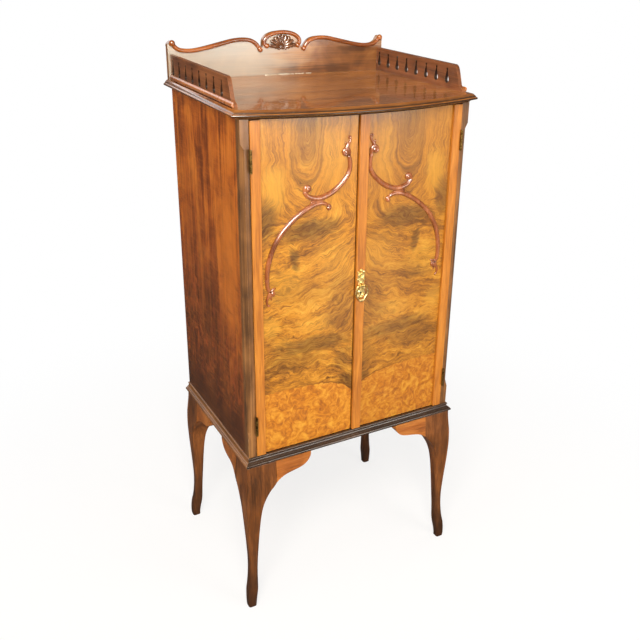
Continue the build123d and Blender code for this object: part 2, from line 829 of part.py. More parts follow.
def escutcheon():
    """Pierced cast plate with two lugs for the ring."""
    outline = Pos(0, 40) * Circle(8.6) + Circle(9.4) + Pos(0, 20) * Circle(7.0) + Pos(0, 11) * Circle(5.4)
    for x, z, radius in [(0, 51.5, 4.0), (-6.5, 48.0, 3.0), (6.5, 48.0, 3.0), (-7.0, 31.0, 3.4), (7.0, 31.0, 3.4)]:
        outline = outline + Pos(x, z) * Circle(radius)
    for x, z, radius in [(0, 30, 4.5), (-7.4, 9.6, 3.4), (7.4, 9.6, 3.4), (0, -10, 3.6), (-6.5, -7, 3.2), (6.5, -7, 3.2)]:
        outline = outline + Pos(x, z) * Circle(radius)
    outline = outline - Pos(0, 40) * Circle(3.2)
    plane = Plane(origin=(LOCK_X, STRIP_FACE, LOCK_Z), x_dir=(1, 0, 0), z_dir=(0, -1, 0))
    plate = extrude(plane * outline, STRIP_FACE - PLATE_FACE)
    for side in (-1, 1):
        x = LOCK_X + side * (LUG_X + LUG_T / 2)
        foot = block(x - LUG_T / 2, x + LUG_T / 2, RING_Y, PLATE_FACE, RING_Z - LUG_R, RING_Z + LUG_R)
        plate = plate + foot + rod(x, RING_Y, RING_Z, LUG_R, LUG_T, "x")
    plate = plate - rod(LOCK_X, RING_Y, RING_Z, RING_R + PLAY, 40, "x")
    return plate - keyway(PLATE_FACE - 1, STRIP_FACE + 1)


# half of the ring's line: distance from its middle, drop below the pivot
RING_LINE = [
    (7.0, 0.0),
    (12.2, -4.6),
    (14.6, -13.0),
    (13.4, -23.0),
    (8.0, -31.0),
    (0.0, -34.0),
]


def ring_pull():
    """Drop ring hanging from the lugs."""
    line = [(LOCK_X + x, RING_Y, RING_Z + z) for x, z in RING_LINE]
    path = Spline(*line, tangents=[(1, 0, 0), (-1, 0, 0)])
    slices = []
    for step in range(9):
        place = Plane(origin=path @ (step / 8), x_dir=(0, 1, 0), z_dir=path % (step / 8))
        slices.append(place * Circle(RING_R))
    half = loft(slices)
    middle = Plane(origin=(LOCK_X, 0, 0), z_dir=(1, 0, 0))
    bar = rod(LOCK_X, RING_Y, RING_Z, RING_R, 2 * RING_LINE[0][0], "x")
    return half + mirror(half, about=middle) + bar


# Shelves

def shelf_step():
    """Height from one shelf to the next."""
    room = CASE_TOP - RAIL_T - BASE_TOP - BOTTOM_T
    return (room + SHELF_T) / (SHELVES + 1)


def shelf_z(number):
    """Underside of a shelf, counted from 1 at the bottom."""
    return BASE_TOP + BOTTOM_T + shelf_step() * number - SHELF_T


def shelf(number):
    """Loose shelf on its two runners."""
    half = OPENING_HALF - SHELF_SIDE_GAP
    z = shelf_z(number)
    return block(-half, half, SHELF_FRONT, CASE_BACK - BACK_T - 0.5, z, z + SHELF_T)


def runner(number):
    """Batten that carries the left end of a shelf."""
    z = shelf_z(number)
    rear = CASE_BACK - BACK_T - 4
    return block(-OPENING_HALF, -OPENING_HALF + RUNNER_W, SHELF_FRONT + 6, rear, z - RUNNER_H, z)


# Write the case
save("side_panel_left", side_panel())
save("side_panel_right", flip_x(side_panel()))
save("stile_left", stile())
save("stile_right", flip_x(stile()))
save("back_panel", back_panel())
save("case_bottom", case_bottom())
save("top_rail_front", top_rail_front())
save("top_rail_back", top_rail_back())
save("top_board", top_board())
save("base_rail_front", base_rail_front())
save("base_rail_left", base_rail_side())
save("base_rail_right", flip_x(base_rail_side()))
save("base_rail_back", base_rail_back())

# Write the legs
front_leg = leg()
front_knees = knee_pair()
save("leg_front_left", front_leg)
save("leg_front_right", flip_x(front_leg))
save("leg_back_left", flip_y(front_leg))
save("leg_back_right", flip_y(flip_x(front_leg)))
save("knee_blocks_front_left", *front_knees)
save("knee_blocks_front_right", *[flip_x(knee) for knee in front_knees])
save("knee_blocks_back_left", *[flip_y(knee) for knee in front_knees])
save("knee_blocks_back_right", *[flip_y(flip_x(knee)) for knee in front_knees])

# Write the gallery
side_bead = gallery_bead_side()
save("gallery_back_board", gallery_back_board())
save("gallery_bead_left", side_bead)
save("gallery_bead_right", flip_x(side_bead))
save("gallery_bead_arch", gallery_bead_arch())
save("crest_carving", crest_carving())
save("fret_left", fret())
save("fret_right", flip_x(fret()))
save("fret_beads", fret_bead(), flip_x(fret_bead()))

# Write the shelves
for count in range(1, SHELVES + 1):
    save(f"shelf_{count}", shelf(count))
runners = [runner(count) for count in range(1, SHELVES + 1)]
save("shelf_runners_left", *runners)
save("shelf_runners_right", *[flip_x(piece) for piece in runners])

# Write the left door
left_core = cut_hinges(door_core(-DOOR_OUT, LEFT_IN)) - strike_body() - bolt_space(LEFT_IN - 12, LEFT_IN, PLAY)
save("door_left_core", left_core)
save("door_left_veneer", cut_hinges(door_veneer(-DOOR_OUT, LEFT_IN)))
save("door_left_strip", cut_hinges(door_strip(-DOOR_OUT, -DOOR_OUT + STRIP_W)))
save("door_left_scroll", door_scroll())
save("strike_plate", strike_plate())
top_end = CASE_TOP - RAIL_T - ROD_CLEAR
low_end = BASE_TOP + BOTTOM_T + ROD_CLEAR
save("bolt_plates", bolt_plate(top_end, 1), bolt_plate(low_end, -1))
save("door_bolt_top", door_bolt(top_end, 1))
save("door_bolt_bottom", door_bolt(low_end, -1))

# Write the right door
right_core = flip_x(cut_hinges(door_core(-DOOR_OUT, -RIGHT_IN))) - lock_body(0) - keyway(CORE_FACE, DOOR_BACK - LOCK_T)
save("door_right_core", right_core)
right_veneer = flip_x(cut_hinges(door_veneer(-DOOR_OUT, -RIGHT_IN))) - keyway(VENEER_FACE, CORE_FACE)
save("door_right_veneer", right_veneer)
save("door_right_strip", flip_x(cut_hinges(door_strip(-DOOR_OUT, -DOOR_OUT + STRIP_W))))
meeting = door_strip(RIGHT_IN, RIGHT_IN + MEET_STRIP_W) - keyway(STRIP_FACE, VENEER_FACE)
save("door_right_meeting_strip", meeting)
axis_plane = Plane(origin=(SCROLL_AXIS, 0, 0), z_dir=(1, 0, 0))
save("door_right_scroll", mirror(door_scroll(), about=axis_plane))
save("lock_case", lock_case())
save("lock_bolt", lock_bolt())
save("escutcheon", escutcheon())
save("ring_pull", ring_pull())

# Write the hinges
case_halves = [case_half(z) for z in HINGE_ZS]
door_halves = [door_half(z) for z in HINGE_ZS]
save("hinges_left_case", *case_halves)
save("hinges_left_door", *door_halves)
save("hinges_right_case", *[flip_x(half) for half in case_halves])
save("hinges_right_door", *[flip_x(half) for half in door_halves])
case_screws = []
door_screws = []
for z in HINGE_ZS:
    for place in (z - SCREW_DZ, z + SCREW_DZ):
        case_screws.append(hinge_screw(place, -1))
        door_screws.append(hinge_screw(place, 1))
save("hinge_screws_case", *case_screws, *[flip_x(screw) for screw in case_screws])
save("hinge_screws_left_door", *door_screws)
save("hinge_screws_right_door", *[flip_x(screw) for screw in door_screws])
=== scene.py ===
"""Music cabinet on cabriole legs: what the eye sees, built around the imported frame.

Lengths are written in millimetres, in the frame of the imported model, and turned to metres
when a mesh is made. +Z is up, -Y is the front with the doors, +X is the right.
"""

import logging
import math
from dataclasses import dataclass
from enum import Enum

import bmesh
import bpy
from mathutils import Matrix, Vector


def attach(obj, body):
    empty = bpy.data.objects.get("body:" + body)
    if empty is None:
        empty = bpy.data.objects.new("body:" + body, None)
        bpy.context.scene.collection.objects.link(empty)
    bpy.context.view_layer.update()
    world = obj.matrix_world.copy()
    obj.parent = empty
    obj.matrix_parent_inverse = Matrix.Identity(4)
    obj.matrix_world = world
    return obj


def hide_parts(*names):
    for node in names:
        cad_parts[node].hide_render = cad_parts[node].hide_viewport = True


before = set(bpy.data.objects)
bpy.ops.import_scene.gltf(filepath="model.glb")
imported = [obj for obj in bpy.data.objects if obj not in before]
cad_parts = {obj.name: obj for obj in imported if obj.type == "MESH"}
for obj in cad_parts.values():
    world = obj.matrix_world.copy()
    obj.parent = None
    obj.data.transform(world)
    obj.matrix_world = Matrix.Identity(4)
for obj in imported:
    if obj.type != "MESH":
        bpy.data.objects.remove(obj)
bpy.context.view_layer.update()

log = logging.getLogger("music_cabinet")

MM = 0.001

Point = tuple[float, float, float]
Flat = tuple[float, float]
# rows along a stem or a leg: place and radius, or height and sizes of the section
Line = list[tuple[float, ...]]
Shell = tuple[list[Point], list[tuple[int, ...]]]
Socket = bpy.types.NodeSocket
Value = bpy.types.NodeSocket | float


# Shared sizes of the case, in millimetres

LEG_TOP = 387.0
BASE_TOP = 409.0
CASE_TOP = 1152.5
TOP_TOP = 1170.5
VENEER_FACE = -168.0
BOARD_FACE = 210.0
SCROLL_AXIS = -2.0

FRONT = Vector((0, -1, 0))
WHITE = (1.0, 1.0, 1.0, 1.0)


# Meshes


def to_metres(point: Point) -> Vector:
    """Turn a point in millimetres into a vector in metres."""
    return Vector(point) * MM


def mesh_of(name: str, shell: Shell) -> bpy.types.Mesh:
    """Mesh in metres from points and faces in millimetres."""
    mesh = bpy.data.meshes.new(name)
    mesh.from_pydata([to_metres(v) for v in shell[0]], [], shell[1])
    return mesh


def linked(name: str, mesh: bpy.types.Mesh) -> bpy.types.Object:
    """Object with a mesh, linked to the scene."""
    piece = bpy.data.objects.new(name, mesh)
    bpy.context.scene.collection.objects.link(piece)
    return piece


def mesh_piece(name: str, shell: Shell, smooth: bool = True) -> bpy.types.Object:
    """Make an object from points and faces.

    Args:
        name: Name of the piece.
        shell: Points in millimetres and the corner numbers of each face.
        smooth: Whether the faces are shaded smooth.

    Returns:
        The new object, linked to the scene.
    """
    mesh = mesh_of(name, shell)
    tidy = bmesh.new()
    tidy.from_mesh(mesh)
    bmesh.ops.remove_doubles(tidy, verts=tidy.verts, dist=0.00001)
    bmesh.ops.recalc_face_normals(tidy, faces=tidy.faces)
    tidy.to_mesh(mesh)
    tidy.free()
    for polygon in mesh.polygons:
        polygon.use_smooth = smooth
    return linked(name, mesh)


def joined(shells: list[Shell]) -> Shell:
    """Put the points and faces of several shells into one list each."""
    verts: list[Point] = []
    faces: list[tuple[int, ...]] = []
    for points, corners in shells:
        base = len(verts)
        verts.extend(points)
        faces.extend(tuple(c + base for c in face) for face in corners)
    return verts, faces


def shell_of(rings: list[list[Point]]) -> Shell:
    """Skin a row of closed rings with the same number of points, and close both ends.

    Args:
        rings: Closed rings in order.

    Returns:
        The points and faces.
    """
    count = len(rings[0])
    verts = [p for ring in rings for p in ring]
    faces: list[tuple[int, ...]] = []
    for row in range(len(rings) - 1):
        for k in range(count):
            a = row * count + k
            b = row * count + (k + 1) % count
            faces.append((a, b, b + count, a + count))
    faces.append(tuple(range(count - 1, -1, -1)))
    last = (len(rings) - 1) * count
    faces.append(tuple(range(last, last + count)))
    return verts, faces


def spline(points: Line, steps: int) -> Line:
    """Smooth curve through points, the same number of steps between each pair.

    Args:
        points: Points with any number of coordinates.
        steps: Steps from one point to the next.

    Returns:
        The points of the curve.
    """

    def between(a: float, b: float, c: float, d: float, t: float) -> float:
        """Value at a share of the way from b to c, with a before them and d after."""
        square = (2 * a - 5 * b + 4 * c - d) * t * t
        cube = (3 * b - a - 3 * c + d) * t**3
        return 0.5 * (2 * b + (c - a) * t + square + cube)

    padded = [points[0], *points, points[-1]]
    out: Line = []
    for i in range(1, len(padded) - 2):
        four = padded[i - 1 : i + 3]
        for s in range(steps):
            out.append(tuple(between(*values, s / steps) for values in zip(*four)))
    out.append(points[-1])
    return out


def swept(line: Line, sides: int) -> Shell:
    """Round stem along a line, with the radius as the fourth coordinate of each point.

    Args:
        line: Points (x, y, z, radius).
        sides: Points round the section.

    Returns:
        The points and faces of a closed stem.
    """
    rings: list[list[Point]] = []
    for i, (x, y, z, radius) in enumerate(line):
        before = line[max(i - 1, 0)]
        after = line[min(i + 1, len(line) - 1)]
        tangent = Vector([after[k] - before[k] for k in range(3)]).normalized()
        across = tangent.cross(FRONT).normalized()
        up = across.cross(tangent).normalized()
        ring = []
        for k in range(sides):
            turn = 2 * math.pi * k / sides
            offset = across * (math.cos(turn) * radius) + up * (math.sin(turn) * radius)
            ring.append((x + offset.x, y + offset.y, z + offset.z))
        rings.append(ring)
    return shell_of(rings)


def ball_mesh(centre: Point, radius: float, squash: Point = (1.0, 1.0, 1.0)) -> Shell:
    """Closed ball.

    Args:
        centre: Its middle.
        radius: Its radius.
        squash: Share of the radius along each axis.

    Returns:
        The points and faces.
    """
    rows = 12
    sides = 20
    rings = []
    for row in range(1, rows):
        tilt = math.pi * row / rows
        ring = []
        for k in range(sides):
            turn = 2 * math.pi * k / sides
            way = (math.sin(tilt) * math.cos(turn), math.sin(tilt) * math.sin(turn), math.cos(tilt))
            ring.append(tuple(c + radius * q * w for c, q, w in zip(centre, squash, way)))
        rings.append(ring)
    return shell_of(rings)


def volute(
    centre: Flat, start: float, turns: float, outer: float, stem: float, y: float, rise: float, hand: int
) -> Line:
    """Line of a carved volute that winds inwards and climbs towards its eye.

    Args:
        centre: Its eye on the face, as (x, z).
        start: Angle in degrees at which it begins.
        turns: How many turns it makes.
        outer: Distance of its start from the eye.
        stem: Radius of the stem at its start.
        y: Depth of the stem's middle at its start.
        rise: How far the eye stands out in front of the start.
        hand: 1 to wind anticlockwise as seen from the front, -1 clockwise.

    Returns:
        Points (x, y, z, radius).
    """
    steps = int(28 * turns)
    line = []
    for i in range(steps + 1):
        t = i / steps
        turn = math.radians(start) + hand * 2 * math.pi * turns * t
        reach = outer * (1 - t) ** 0.85
        x = centre[0] + reach * math.cos(turn)
        z = centre[1] + reach * math.sin(turn)
        line.append((x, y - rise * t, z, stem * (1 - 0.42 * t)))
    return line


def fused(name: str, shells: list[Shell], voxel: float, plane_y: float) -> bpy.types.Object:
    """Melt overlapping shells into one carved skin, flat at the back.

    Args:
        name: Name of the piece.
        shells: Points and faces of each shell.
        voxel: Size of the carving's finest step, in millimetres.
        plane_y: Depth at which the back is cut flat.

    Returns:
        The carved piece.
    """
    rough = linked(name + "_rough", mesh_of(name + "_rough", joined(shells)))
    melt = rough.modifiers.new("melt", "REMESH")
    melt.mode = "VOXEL"
    melt.voxel_size = voxel * MM
    soften = rough.modifiers.new("soften", "SMOOTH")
    soften.factor = 0.5
    soften.iterations = 4
    graph = bpy.context.evaluated_depsgraph_get()
    done = bpy.data.meshes.new_from_object(rough.evaluated_get(graph))
    done.name = name
    bpy.data.objects.remove(rough)
    cut = bmesh.new()
    cut.from_mesh(done)
    geometry = cut.verts[:] + cut.edges[:] + cut.faces[:]
    result = bmesh.ops.bisect_plane(
        cut, geom=geometry, dist=1e-7, plane_co=(0, plane_y * MM, 0), plane_no=(0, 1, 0), clear_outer=True
    )
    rim = [e for e in result["geom_cut"] if isinstance(e, bmesh.types.BMEdge)]
    bmesh.ops.holes_fill(cut, edges=rim)
    cut.to_mesh(done)
    cut.free()
    for polygon in done.polygons:
        polygon.use_smooth = True
    return linked(name, done)


def mirrored(shells: list[Shell], axis_x: float) -> list[Shell]:
    """The same shells on the other side of a vertical line.

    Args:
        shells: Points and faces of each shell.
        axis_x: Place of the line.

    Returns:
        The mirrored shells.
    """
    out = []
    for points, faces in shells:
        flipped = [(2 * axis_x - x, y, z) for x, y, z in points]
        out.append((flipped, [tuple(reversed(f)) for f in faces]))
    return out


def soften_edges(piece: bpy.types.Object, width: float, segments: int = 2, angle: float = 40.0) -> None:
    """Round the sharp arrises of a piece as hand-finishing leaves them.

    Args:
        piece: The piece.
        width: Width of the rounding in millimetres.
        segments: Facets across the rounding.
        angle: Smallest turn in degrees that counts as an arris.
    """
    bevel = piece.modifiers.new("worn_arris", "BEVEL")
    bevel.width = width * MM
    bevel.segments = segments
    bevel.limit_method = "ANGLE"
    bevel.angle_limit = math.radians(angle)


# Colour and nodes


def srgb(code: str) -> tuple[float, float, float, float]:
    """Turn an sRGB hex colour into linear RGBA.

    Args:
        code: Six hex digits.

    Returns:
        Linear red, green, blue and alpha.
    """
    parts = [int(code.lstrip("#")[i : i + 2], 16) / 255 for i in (0, 2, 4)]
    linear = [c / 12.92 if c <= 0.04045 else ((c + 0.055) / 1.055) ** 2.4 for c in parts]
    return (*linear, 1.0)


def add(
    tree: bpy.types.NodeTree,
    kind: str,
    inputs: dict[int | str, object] | None = None,
    out: int | str = 0,
    stops: list[tuple[float, str]] | None = None,
    **settings: object,
) -> Socket | None:
    """Add a node with its settings, values and links.

    Args:
        tree: The material's node tree.
        kind: Node type without its ShaderNode prefix.
        inputs: Value or socket for each input, by name or number.
        out: Which output to give back.
        stops: Places and hex colours of a colour ramp.
        **settings: Attributes of the node.

    Returns:
        The chosen output socket, or None where the node has none.
    """
    node = tree.nodes.new("ShaderNode" + kind)
    for key, value in settings.items():
        setattr(node, key, value)
    if stops:
        ramp = node.color_ramp
        while len(ramp.elements) < len(stops):
            ramp.elements.new(0.5)
        for element, (place, code) in zip(ramp.elements, stops):
            element.position = place
            element.color = srgb(code)
    for key, value in (inputs or {}).items():
        if isinstance(value, bpy.types.NodeSocket):
            tree.links.new(value, node.inputs[key])
        else:
            node.inputs[key].default_value = value
    return node.outputs[out] if node.outputs else None


@dataclass(frozen=True)
class Patch:
    """Oval patch on a face: place of its middle, half sizes and strength."""

    across: float
    high: float
    half_w: float
    half_h: float
    strength: float


class Sums:
    """Short arithmetic on sockets, so that a figure reads as its formula."""

    def __init__(self, tree: bpy.types.NodeTree) -> None:
        """Keep the tree that the nodes go into."""
        self.tree = tree

    def do(self, operation: str, *values: Value, clamp: bool = False) -> Socket:
        """One arithmetic step.

        Args:
            operation: Name of the step.
            *values: Sockets or numbers.
            clamp: Whether the result is held between 0 and 1.

        Returns:
            The result's socket.
        """
        return add(self.tree, "Math", dict(enumerate(values)), operation=operation, use_clamp=clamp)

    def plus(self, first: Value, second: Value) -> Socket:
        """Sum of two values."""
        return self.do("ADD", first, second)

    def minus(self, first: Value, second: Value) -> Socket:
        """Difference of two values."""
        return self.do("SUBTRACT", first, second)

    def times(self, first: Value, second: Value) -> Socket:
        """Product of two values."""
        return self.do("MULTIPLY", first, second)

    def over(self, first: Value, second: Value) -> Socket:
        """Quotient of two values."""
        return self.do("DIVIDE", first, second)

    def swing(self, noise: Socket, width: float) -> Socket:
        """Noise about 0, with a width from its lowest to its highest value."""
        return self.times(self.minus(noise, 0.5), width)

    def oval(self, across: Value, high: Value, patch: Patch) -> Socket:
        """Square of the distance from a patch's middle, 1 on its rim.

        Args:
            across: Place on the first axis.
            high: Place on the second axis.
            patch: The patch.

        Returns:
            The square's socket.
        """
        a = self.over(self.minus(across, patch.across), patch.half_w)
        b = self.over(self.minus(high, patch.high), patch.half_h)
        return self.plus(self.times(a, a), self.times(b, b))

    def bump(self, value: Value, centre: float, width: float) -> Socket:
        """Bell curve of a value.

        Args:
            value: Socket.
            centre: Where it is highest.
            width: Its half width.

        Returns:
            The curve's socket.
        """
        away = self.over(self.minus(value, centre), width)
        return self.do("EXPONENT", self.times(self.times(away, away), -1.0))

    def smooth(self, value: Value, low: float, high: float) -> Socket:
        """Smooth step of a value from 0 at low to 1 at high."""
        span = {0: value, 1: low, 2: high, 3: 0.0, 4: 1.0}
        return add(self.tree, "MapRange", span, interpolation_type="SMOOTHSTEP")

    def mix(self, share: Value, first: Value, second: Value) -> Socket:
        """Blend of two numbers by a share."""
        return add(self.tree, "Mix", {0: share, 2: first, 3: second}, data_type="FLOAT")

    def tint(self, share: Value, first: object, second: object) -> Socket:
        """Blend of two colours by a share.

        Args:
            share: Socket or number.
            first: Socket or linear colour.
            second: Socket or linear colour.

        Returns:
            The colour's socket.
        """
        return add(self.tree, "Mix", {0: share, 6: first, 7: second}, out=2, data_type="RGBA")

    def noise(
        self, vector: Socket, size: float, detail: float = 2.0, rough: float = 0.5, bend: float = 0.0
    ) -> Socket:
        """Noise whose cells are a real size.

        Args:
            vector: Coordinates in millimetres.
            size: Size of a cell in millimetres.
            detail: Octaves.
            rough: Share of each finer octave.
            bend: Distortion.

        Returns:
            The value's socket.
        """
        inputs = {"Vector": vector, "Scale": 1.0 / size, "Detail": detail}
        inputs |= {"Roughness": rough, "Distortion": bend}
        return add(self.tree, "TexNoise", inputs)

    def vector(self, x: Value, y: Value, z: Value) -> Socket:
        """Vector from three numbers."""
        return add(self.tree, "CombineXYZ", {0: x, 1: y, 2: z})


class Run(Enum):
    """Direction in which a wood's grain runs."""

    X = 0
    Y = 1
    Z = 2


@dataclass
class Ground:
    """An empty material with what every finish of the cabinet starts from."""

    name: str

    def __post_init__(self) -> None:
        """Open the node tree and take the coordinates in millimetres."""
        self.material = bpy.data.materials.new(self.name)
        self.material.use_nodes = True
        self.tree = self.material.node_tree
        self.tree.nodes.clear()
        self.sums = Sums(self.tree)
        place = add(self.tree, "TexCoord", out="Object")
        self.mm = add(self.tree, "VectorMath", {0: place, 3: 1000.0}, operation="SCALE")
        self.xyz = tuple(add(self.tree, "SeparateXYZ", {0: self.mm}, out=axis) for axis in "XYZ")

    def facing(self, axis: str) -> Socket:
        """Part of the true normal along one axis."""
        normal = add(self.tree, "NewGeometry", out="True Normal")
        return add(self.tree, "SeparateXYZ", {0: normal}, out=axis)

    def arris(self, radius: float) -> Socket:
        """Mask of the arrises within a distance, where hands wear the polish.

        Args:
            radius: Distance in millimetres.

        Returns:
            Socket, 1 on an arris.
        """
        rounded = add(self.tree, "Bevel", {"Radius": radius * MM}, samples=6)
        true = add(self.tree, "NewGeometry", out="Normal")
        both = {0: rounded, 1: true}
        dot = add(self.tree, "VectorMath", both, operation="DOT_PRODUCT", out="Value")
        return self.sums.smooth(dot, 0.995, 0.86)

    def hollow(self, distance: float) -> Socket:
        """Mask of the hollows, found by ambient occlusion: wood is darkened there as painted shade, brass as
        its patina.

        Args:
            distance: Reach in millimetres.

        Returns:
            Socket, 1 deep in a hollow.
        """
        open_sky = add(self.tree, "AmbientOcclusion", {"Distance": distance * MM}, out="AO", samples=6)
        return self.sums.smooth(open_sky, 0.75, 0.2)

    def surface(
        self,
        colour: Socket,
        roughness: Value,
        height: Socket,
        depth: float,
        coat: float,
        coat_rough: float,
        metallic: float = 0.0,
    ) -> bpy.types.Material:
        """Close the material with its shader.

        Args:
            colour: Base colour socket.
            roughness: Roughness socket.
            height: Height socket for the bump.
            depth: Height of the bump in millimetres.
            coat: Weight of the clear polish.
            coat_rough: Roughness of the clear polish.
            metallic: Share of metal.

        Returns:
            The finished material.
        """
        bump = add(self.tree, "Bump", {"Height": height, "Distance": depth * MM, "Strength": 1.0})
        shader = add(
            self.tree,
            "BsdfPrincipled",
            {
                "Base Color": colour,
                "Roughness": roughness,
                "Metallic": metallic,
                "IOR": 1.5,
                "Coat Weight": coat,
                "Coat Roughness": coat_rough,
                "Coat IOR": 1.5,
                "Normal": bump,
            },
        )
        add(self.tree, "OutputMaterial", {"Surface": shader})
        return self.material


@dataclass(frozen=True)
class Timber:
    """A sawn and polished board: broad bands, fine streaks, pores and hand wear.

    French polish over open-grained wood gives a warm gloss with the pores drawn through it.
    """

    name: str
    run: Run
    light: str
    mid: str
    dark: str
    worn: str
    # colour of the grime in the pores, used also as the painted shade in the hollows
    grime_and_shade: str
    band: float = 26.0
    streak: float = 2.6
    length: float = 240.0
    contrast: float = 0.5
    cloud: float = 0.35
    wear: float = 0.5
    roughness: float = 0.34
    coat: float = 0.35
    coat_rough: float = 0.16
    relief: float = 0.05
    # strength and reach of the painted shade in the hollows
    hollow_shade: float = 0.5
    hollow_shade_reach: float = 6.0
    seed: float = 0.0

    def stretched(self, ground: Ground, across: float) -> Socket:
        """Coordinates squeezed along the grain, so that noise draws streaks.

        Args:
            ground: The material's ground.
            across: Width of a streak in millimetres.

        Returns:
            Vector socket in streak widths.
        """
        scale = [1.0 / across] * 3
        scale[self.run.value] = 1.0 / self.length
        shift = (self.seed * 37.0, self.seed * 53.0, self.seed * 29.0)
        moved = add(ground.tree, "VectorMath", {0: ground.mm, 1: shift}, operation="ADD")
        return add(ground.tree, "VectorMath", {0: moved, 1: tuple(scale)}, operation="MULTIPLY")

    def figure(self, ground: Ground) -> tuple[Socket, Socket]:
        """Colour of the wood before wear.

        Args:
            ground: The material's ground.

        Returns:
            Colour and pore sockets.
        """
        sums = ground.sums
        bands = sums.noise(self.stretched(ground, self.band), 1.0, detail=3.0, rough=0.55, bend=0.6)
        streaks = sums.noise(self.stretched(ground, self.streak), 1.0, detail=4.0, rough=0.62, bend=0.35)
        clouds = sums.noise(ground.mm, 85.0, detail=3.0, rough=0.55, bend=0.8)
        tone = sums.plus(sums.times(bands, 0.62), sums.times(streaks, 0.38))
        tone = sums.plus(tone, sums.swing(clouds, self.cloud))
        spread = 0.26 - 0.17 * self.contrast
        colour = add(
            ground.tree,
            "ValToRGB",
            {"Fac": tone},
            stops=[(0.5 - spread, self.dark), (0.5, self.mid), (0.5 + spread, self.light)],
        )
        # pores of about 0.3 mm, drawn 1.1 mm wide so that they show
        pores = sums.noise(self.stretched(ground, 1.1), 1.0, detail=1.0, rough=0.5)
        pore = sums.smooth(pores, 0.60, 0.72)
        colour = sums.tint(sums.times(pore, 0.3), colour, srgb(self.grime_and_shade))
        return colour, pore

    def dress(self, ground: Ground, colour: Socket, pore: Socket) -> bpy.types.Material:
        """Add wear, painted shade in the hollows and the polish.

        Args:
            ground: The material's ground.
            colour: Colour socket of the wood.
            pore: Mask of the pores.

        Returns:
            The material.
        """
        sums = ground.sums
        patchy = sums.noise(ground.mm, 9.0, detail=3.0, rough=0.6)
        edge = sums.times(ground.arris(1.1), sums.smooth(patchy, 0.36, 0.62))
        colour = sums.tint(sums.times(edge, self.wear), colour, srgb(self.worn))
        # painted shade in the hollows, found by ambient occlusion
        shade_in_hollows = sums.times(ground.hollow(self.hollow_shade_reach), self.hollow_shade)
        colour = sums.tint(shade_in_hollows, colour, srgb(self.grime_and_shade))
        rub = sums.noise(ground.mm, 34.0, detail=4.0, rough=0.6)
        rough = sums.plus(self.roughness - 0.09, sums.times(rub, 0.18))
        rough = sums.do("ADD", rough, sums.times(pore, 0.12), clamp=True)
        height = sums.minus(sums.times(rub, 0.4), pore)
        return ground.surface(colour, rough, height, self.relief, self.coat, self.coat_rough)

    def aged(self, ground: Ground, colour: Socket) -> Socket:
        """What the years did to this board; plain timber stays as it is.

        Args:
            ground: The material's ground; not used here.
            colour: Colour socket of the wood.

        Returns:
            Colour socket of the aged wood.
        """
        return colour

    def material(self) -> bpy.types.Material:
        """The whole material."""
        ground = Ground(self.name)
        colour, pore = self.figure(ground)
        return self.dress(ground, self.aged(ground, colour), pore)


@dataclass(frozen=True)
class AgedSide(Timber):
    """Mahogany side board, darkened by damp from its foot upwards.

    The stain creeps up in ragged tongues along the grain.
    """

    dark_tone: str = "#40230F"
    tinge: str = "#83431A"
    red: str = "#AE5420"

    def aged(self, ground: Ground, colour: Socket) -> Socket:
        """The stain over the lower half, the rubbed red and the patches."""
        sums = ground.sums
        x, y, z = ground.xyz
        tongues = sums.noise(self.stretched(ground, 16.0), 1.0, detail=4.0, rough=0.6, bend=0.9)
        blots = sums.noise(ground.mm, 60.0, detail=4.0, rough=0.62, bend=1.2)
        level = sums.plus(sums.over(z, 400.0), sums.times(tongues, -1.5))
        level = sums.plus(level, sums.times(blots, -1.9))
        # the stain reaches highest in the middle and back of the board
        back = sums.bump(y, 40.0, 130.0)
        level = sums.minus(level, sums.times(back, 0.22))
        level = sums.plus(level, 0.12)
        damp = sums.smooth(level, 0.30, -0.50)
        reddened = sums.times(sums.smooth(level, 0.95, -0.05), 0.6)
        colour = sums.tint(reddened, colour, srgb(self.tinge))
        colour = sums.tint(sums.times(damp, 0.74), colour, srgb(self.dark_tone))
        # rubbed spots where the red of the wood comes back through the stain
        spots = sums.vector(x, sums.over(y, 15.0), sums.over(z, 34.0))
        rubbed = sums.noise(spots, 1.0, detail=4.0, rough=0.68, bend=1.2)
        rubbed = sums.times(sums.smooth(rubbed, 0.47, 0.66), sums.smooth(z, 900.0, 720.0))
        rubbed = sums.times(rubbed, sums.smooth(z, 430.0, 540.0))
        colour = sums.tint(sums.times(rubbed, 0.8), colour, srgb(self.red))
        # light patch in front of the stain, and the darkest blot behind it
        tear = sums.swing(blots, 2.6)
        streaky = sums.mix(sums.smooth(tongues, 0.36, 0.64), 0.45, 1.0)
        for patch, code in (
            (Patch(-95.0, 860.0, 70.0, 190.0, 0.75), self.light),
            (Patch(30.0, 690.0, 75.0, 100.0, 0.6), self.dark_tone),
        ):
            zone = sums.smooth(sums.plus(sums.oval(y, z, patch), tear), 1.5, 0.0)
            share = sums.times(sums.times(zone, streaky), patch.strength)
            colour = sums.tint(share, colour, srgb(code))
        # fiddleback: faint bars of light across the grain
        bars = sums.vector(x, sums.over(y, 46.0), sums.over(z, 4.6))
        bars = sums.noise(bars, 1.0, detail=2.0, rough=0.5, bend=0.8)
        bars = sums.times(sums.smooth(bars, 0.46, 0.66), sums.smooth(blots, 0.36, 0.62))
        colour = sums.tint(sums.times(bars, 0.24), colour, srgb(self.light))
        low = sums.smooth(z, 540.0, BASE_TOP)
        colour = sums.tint(sums.times(low, 0.42), colour, srgb(self.dark_tone))
        return colour


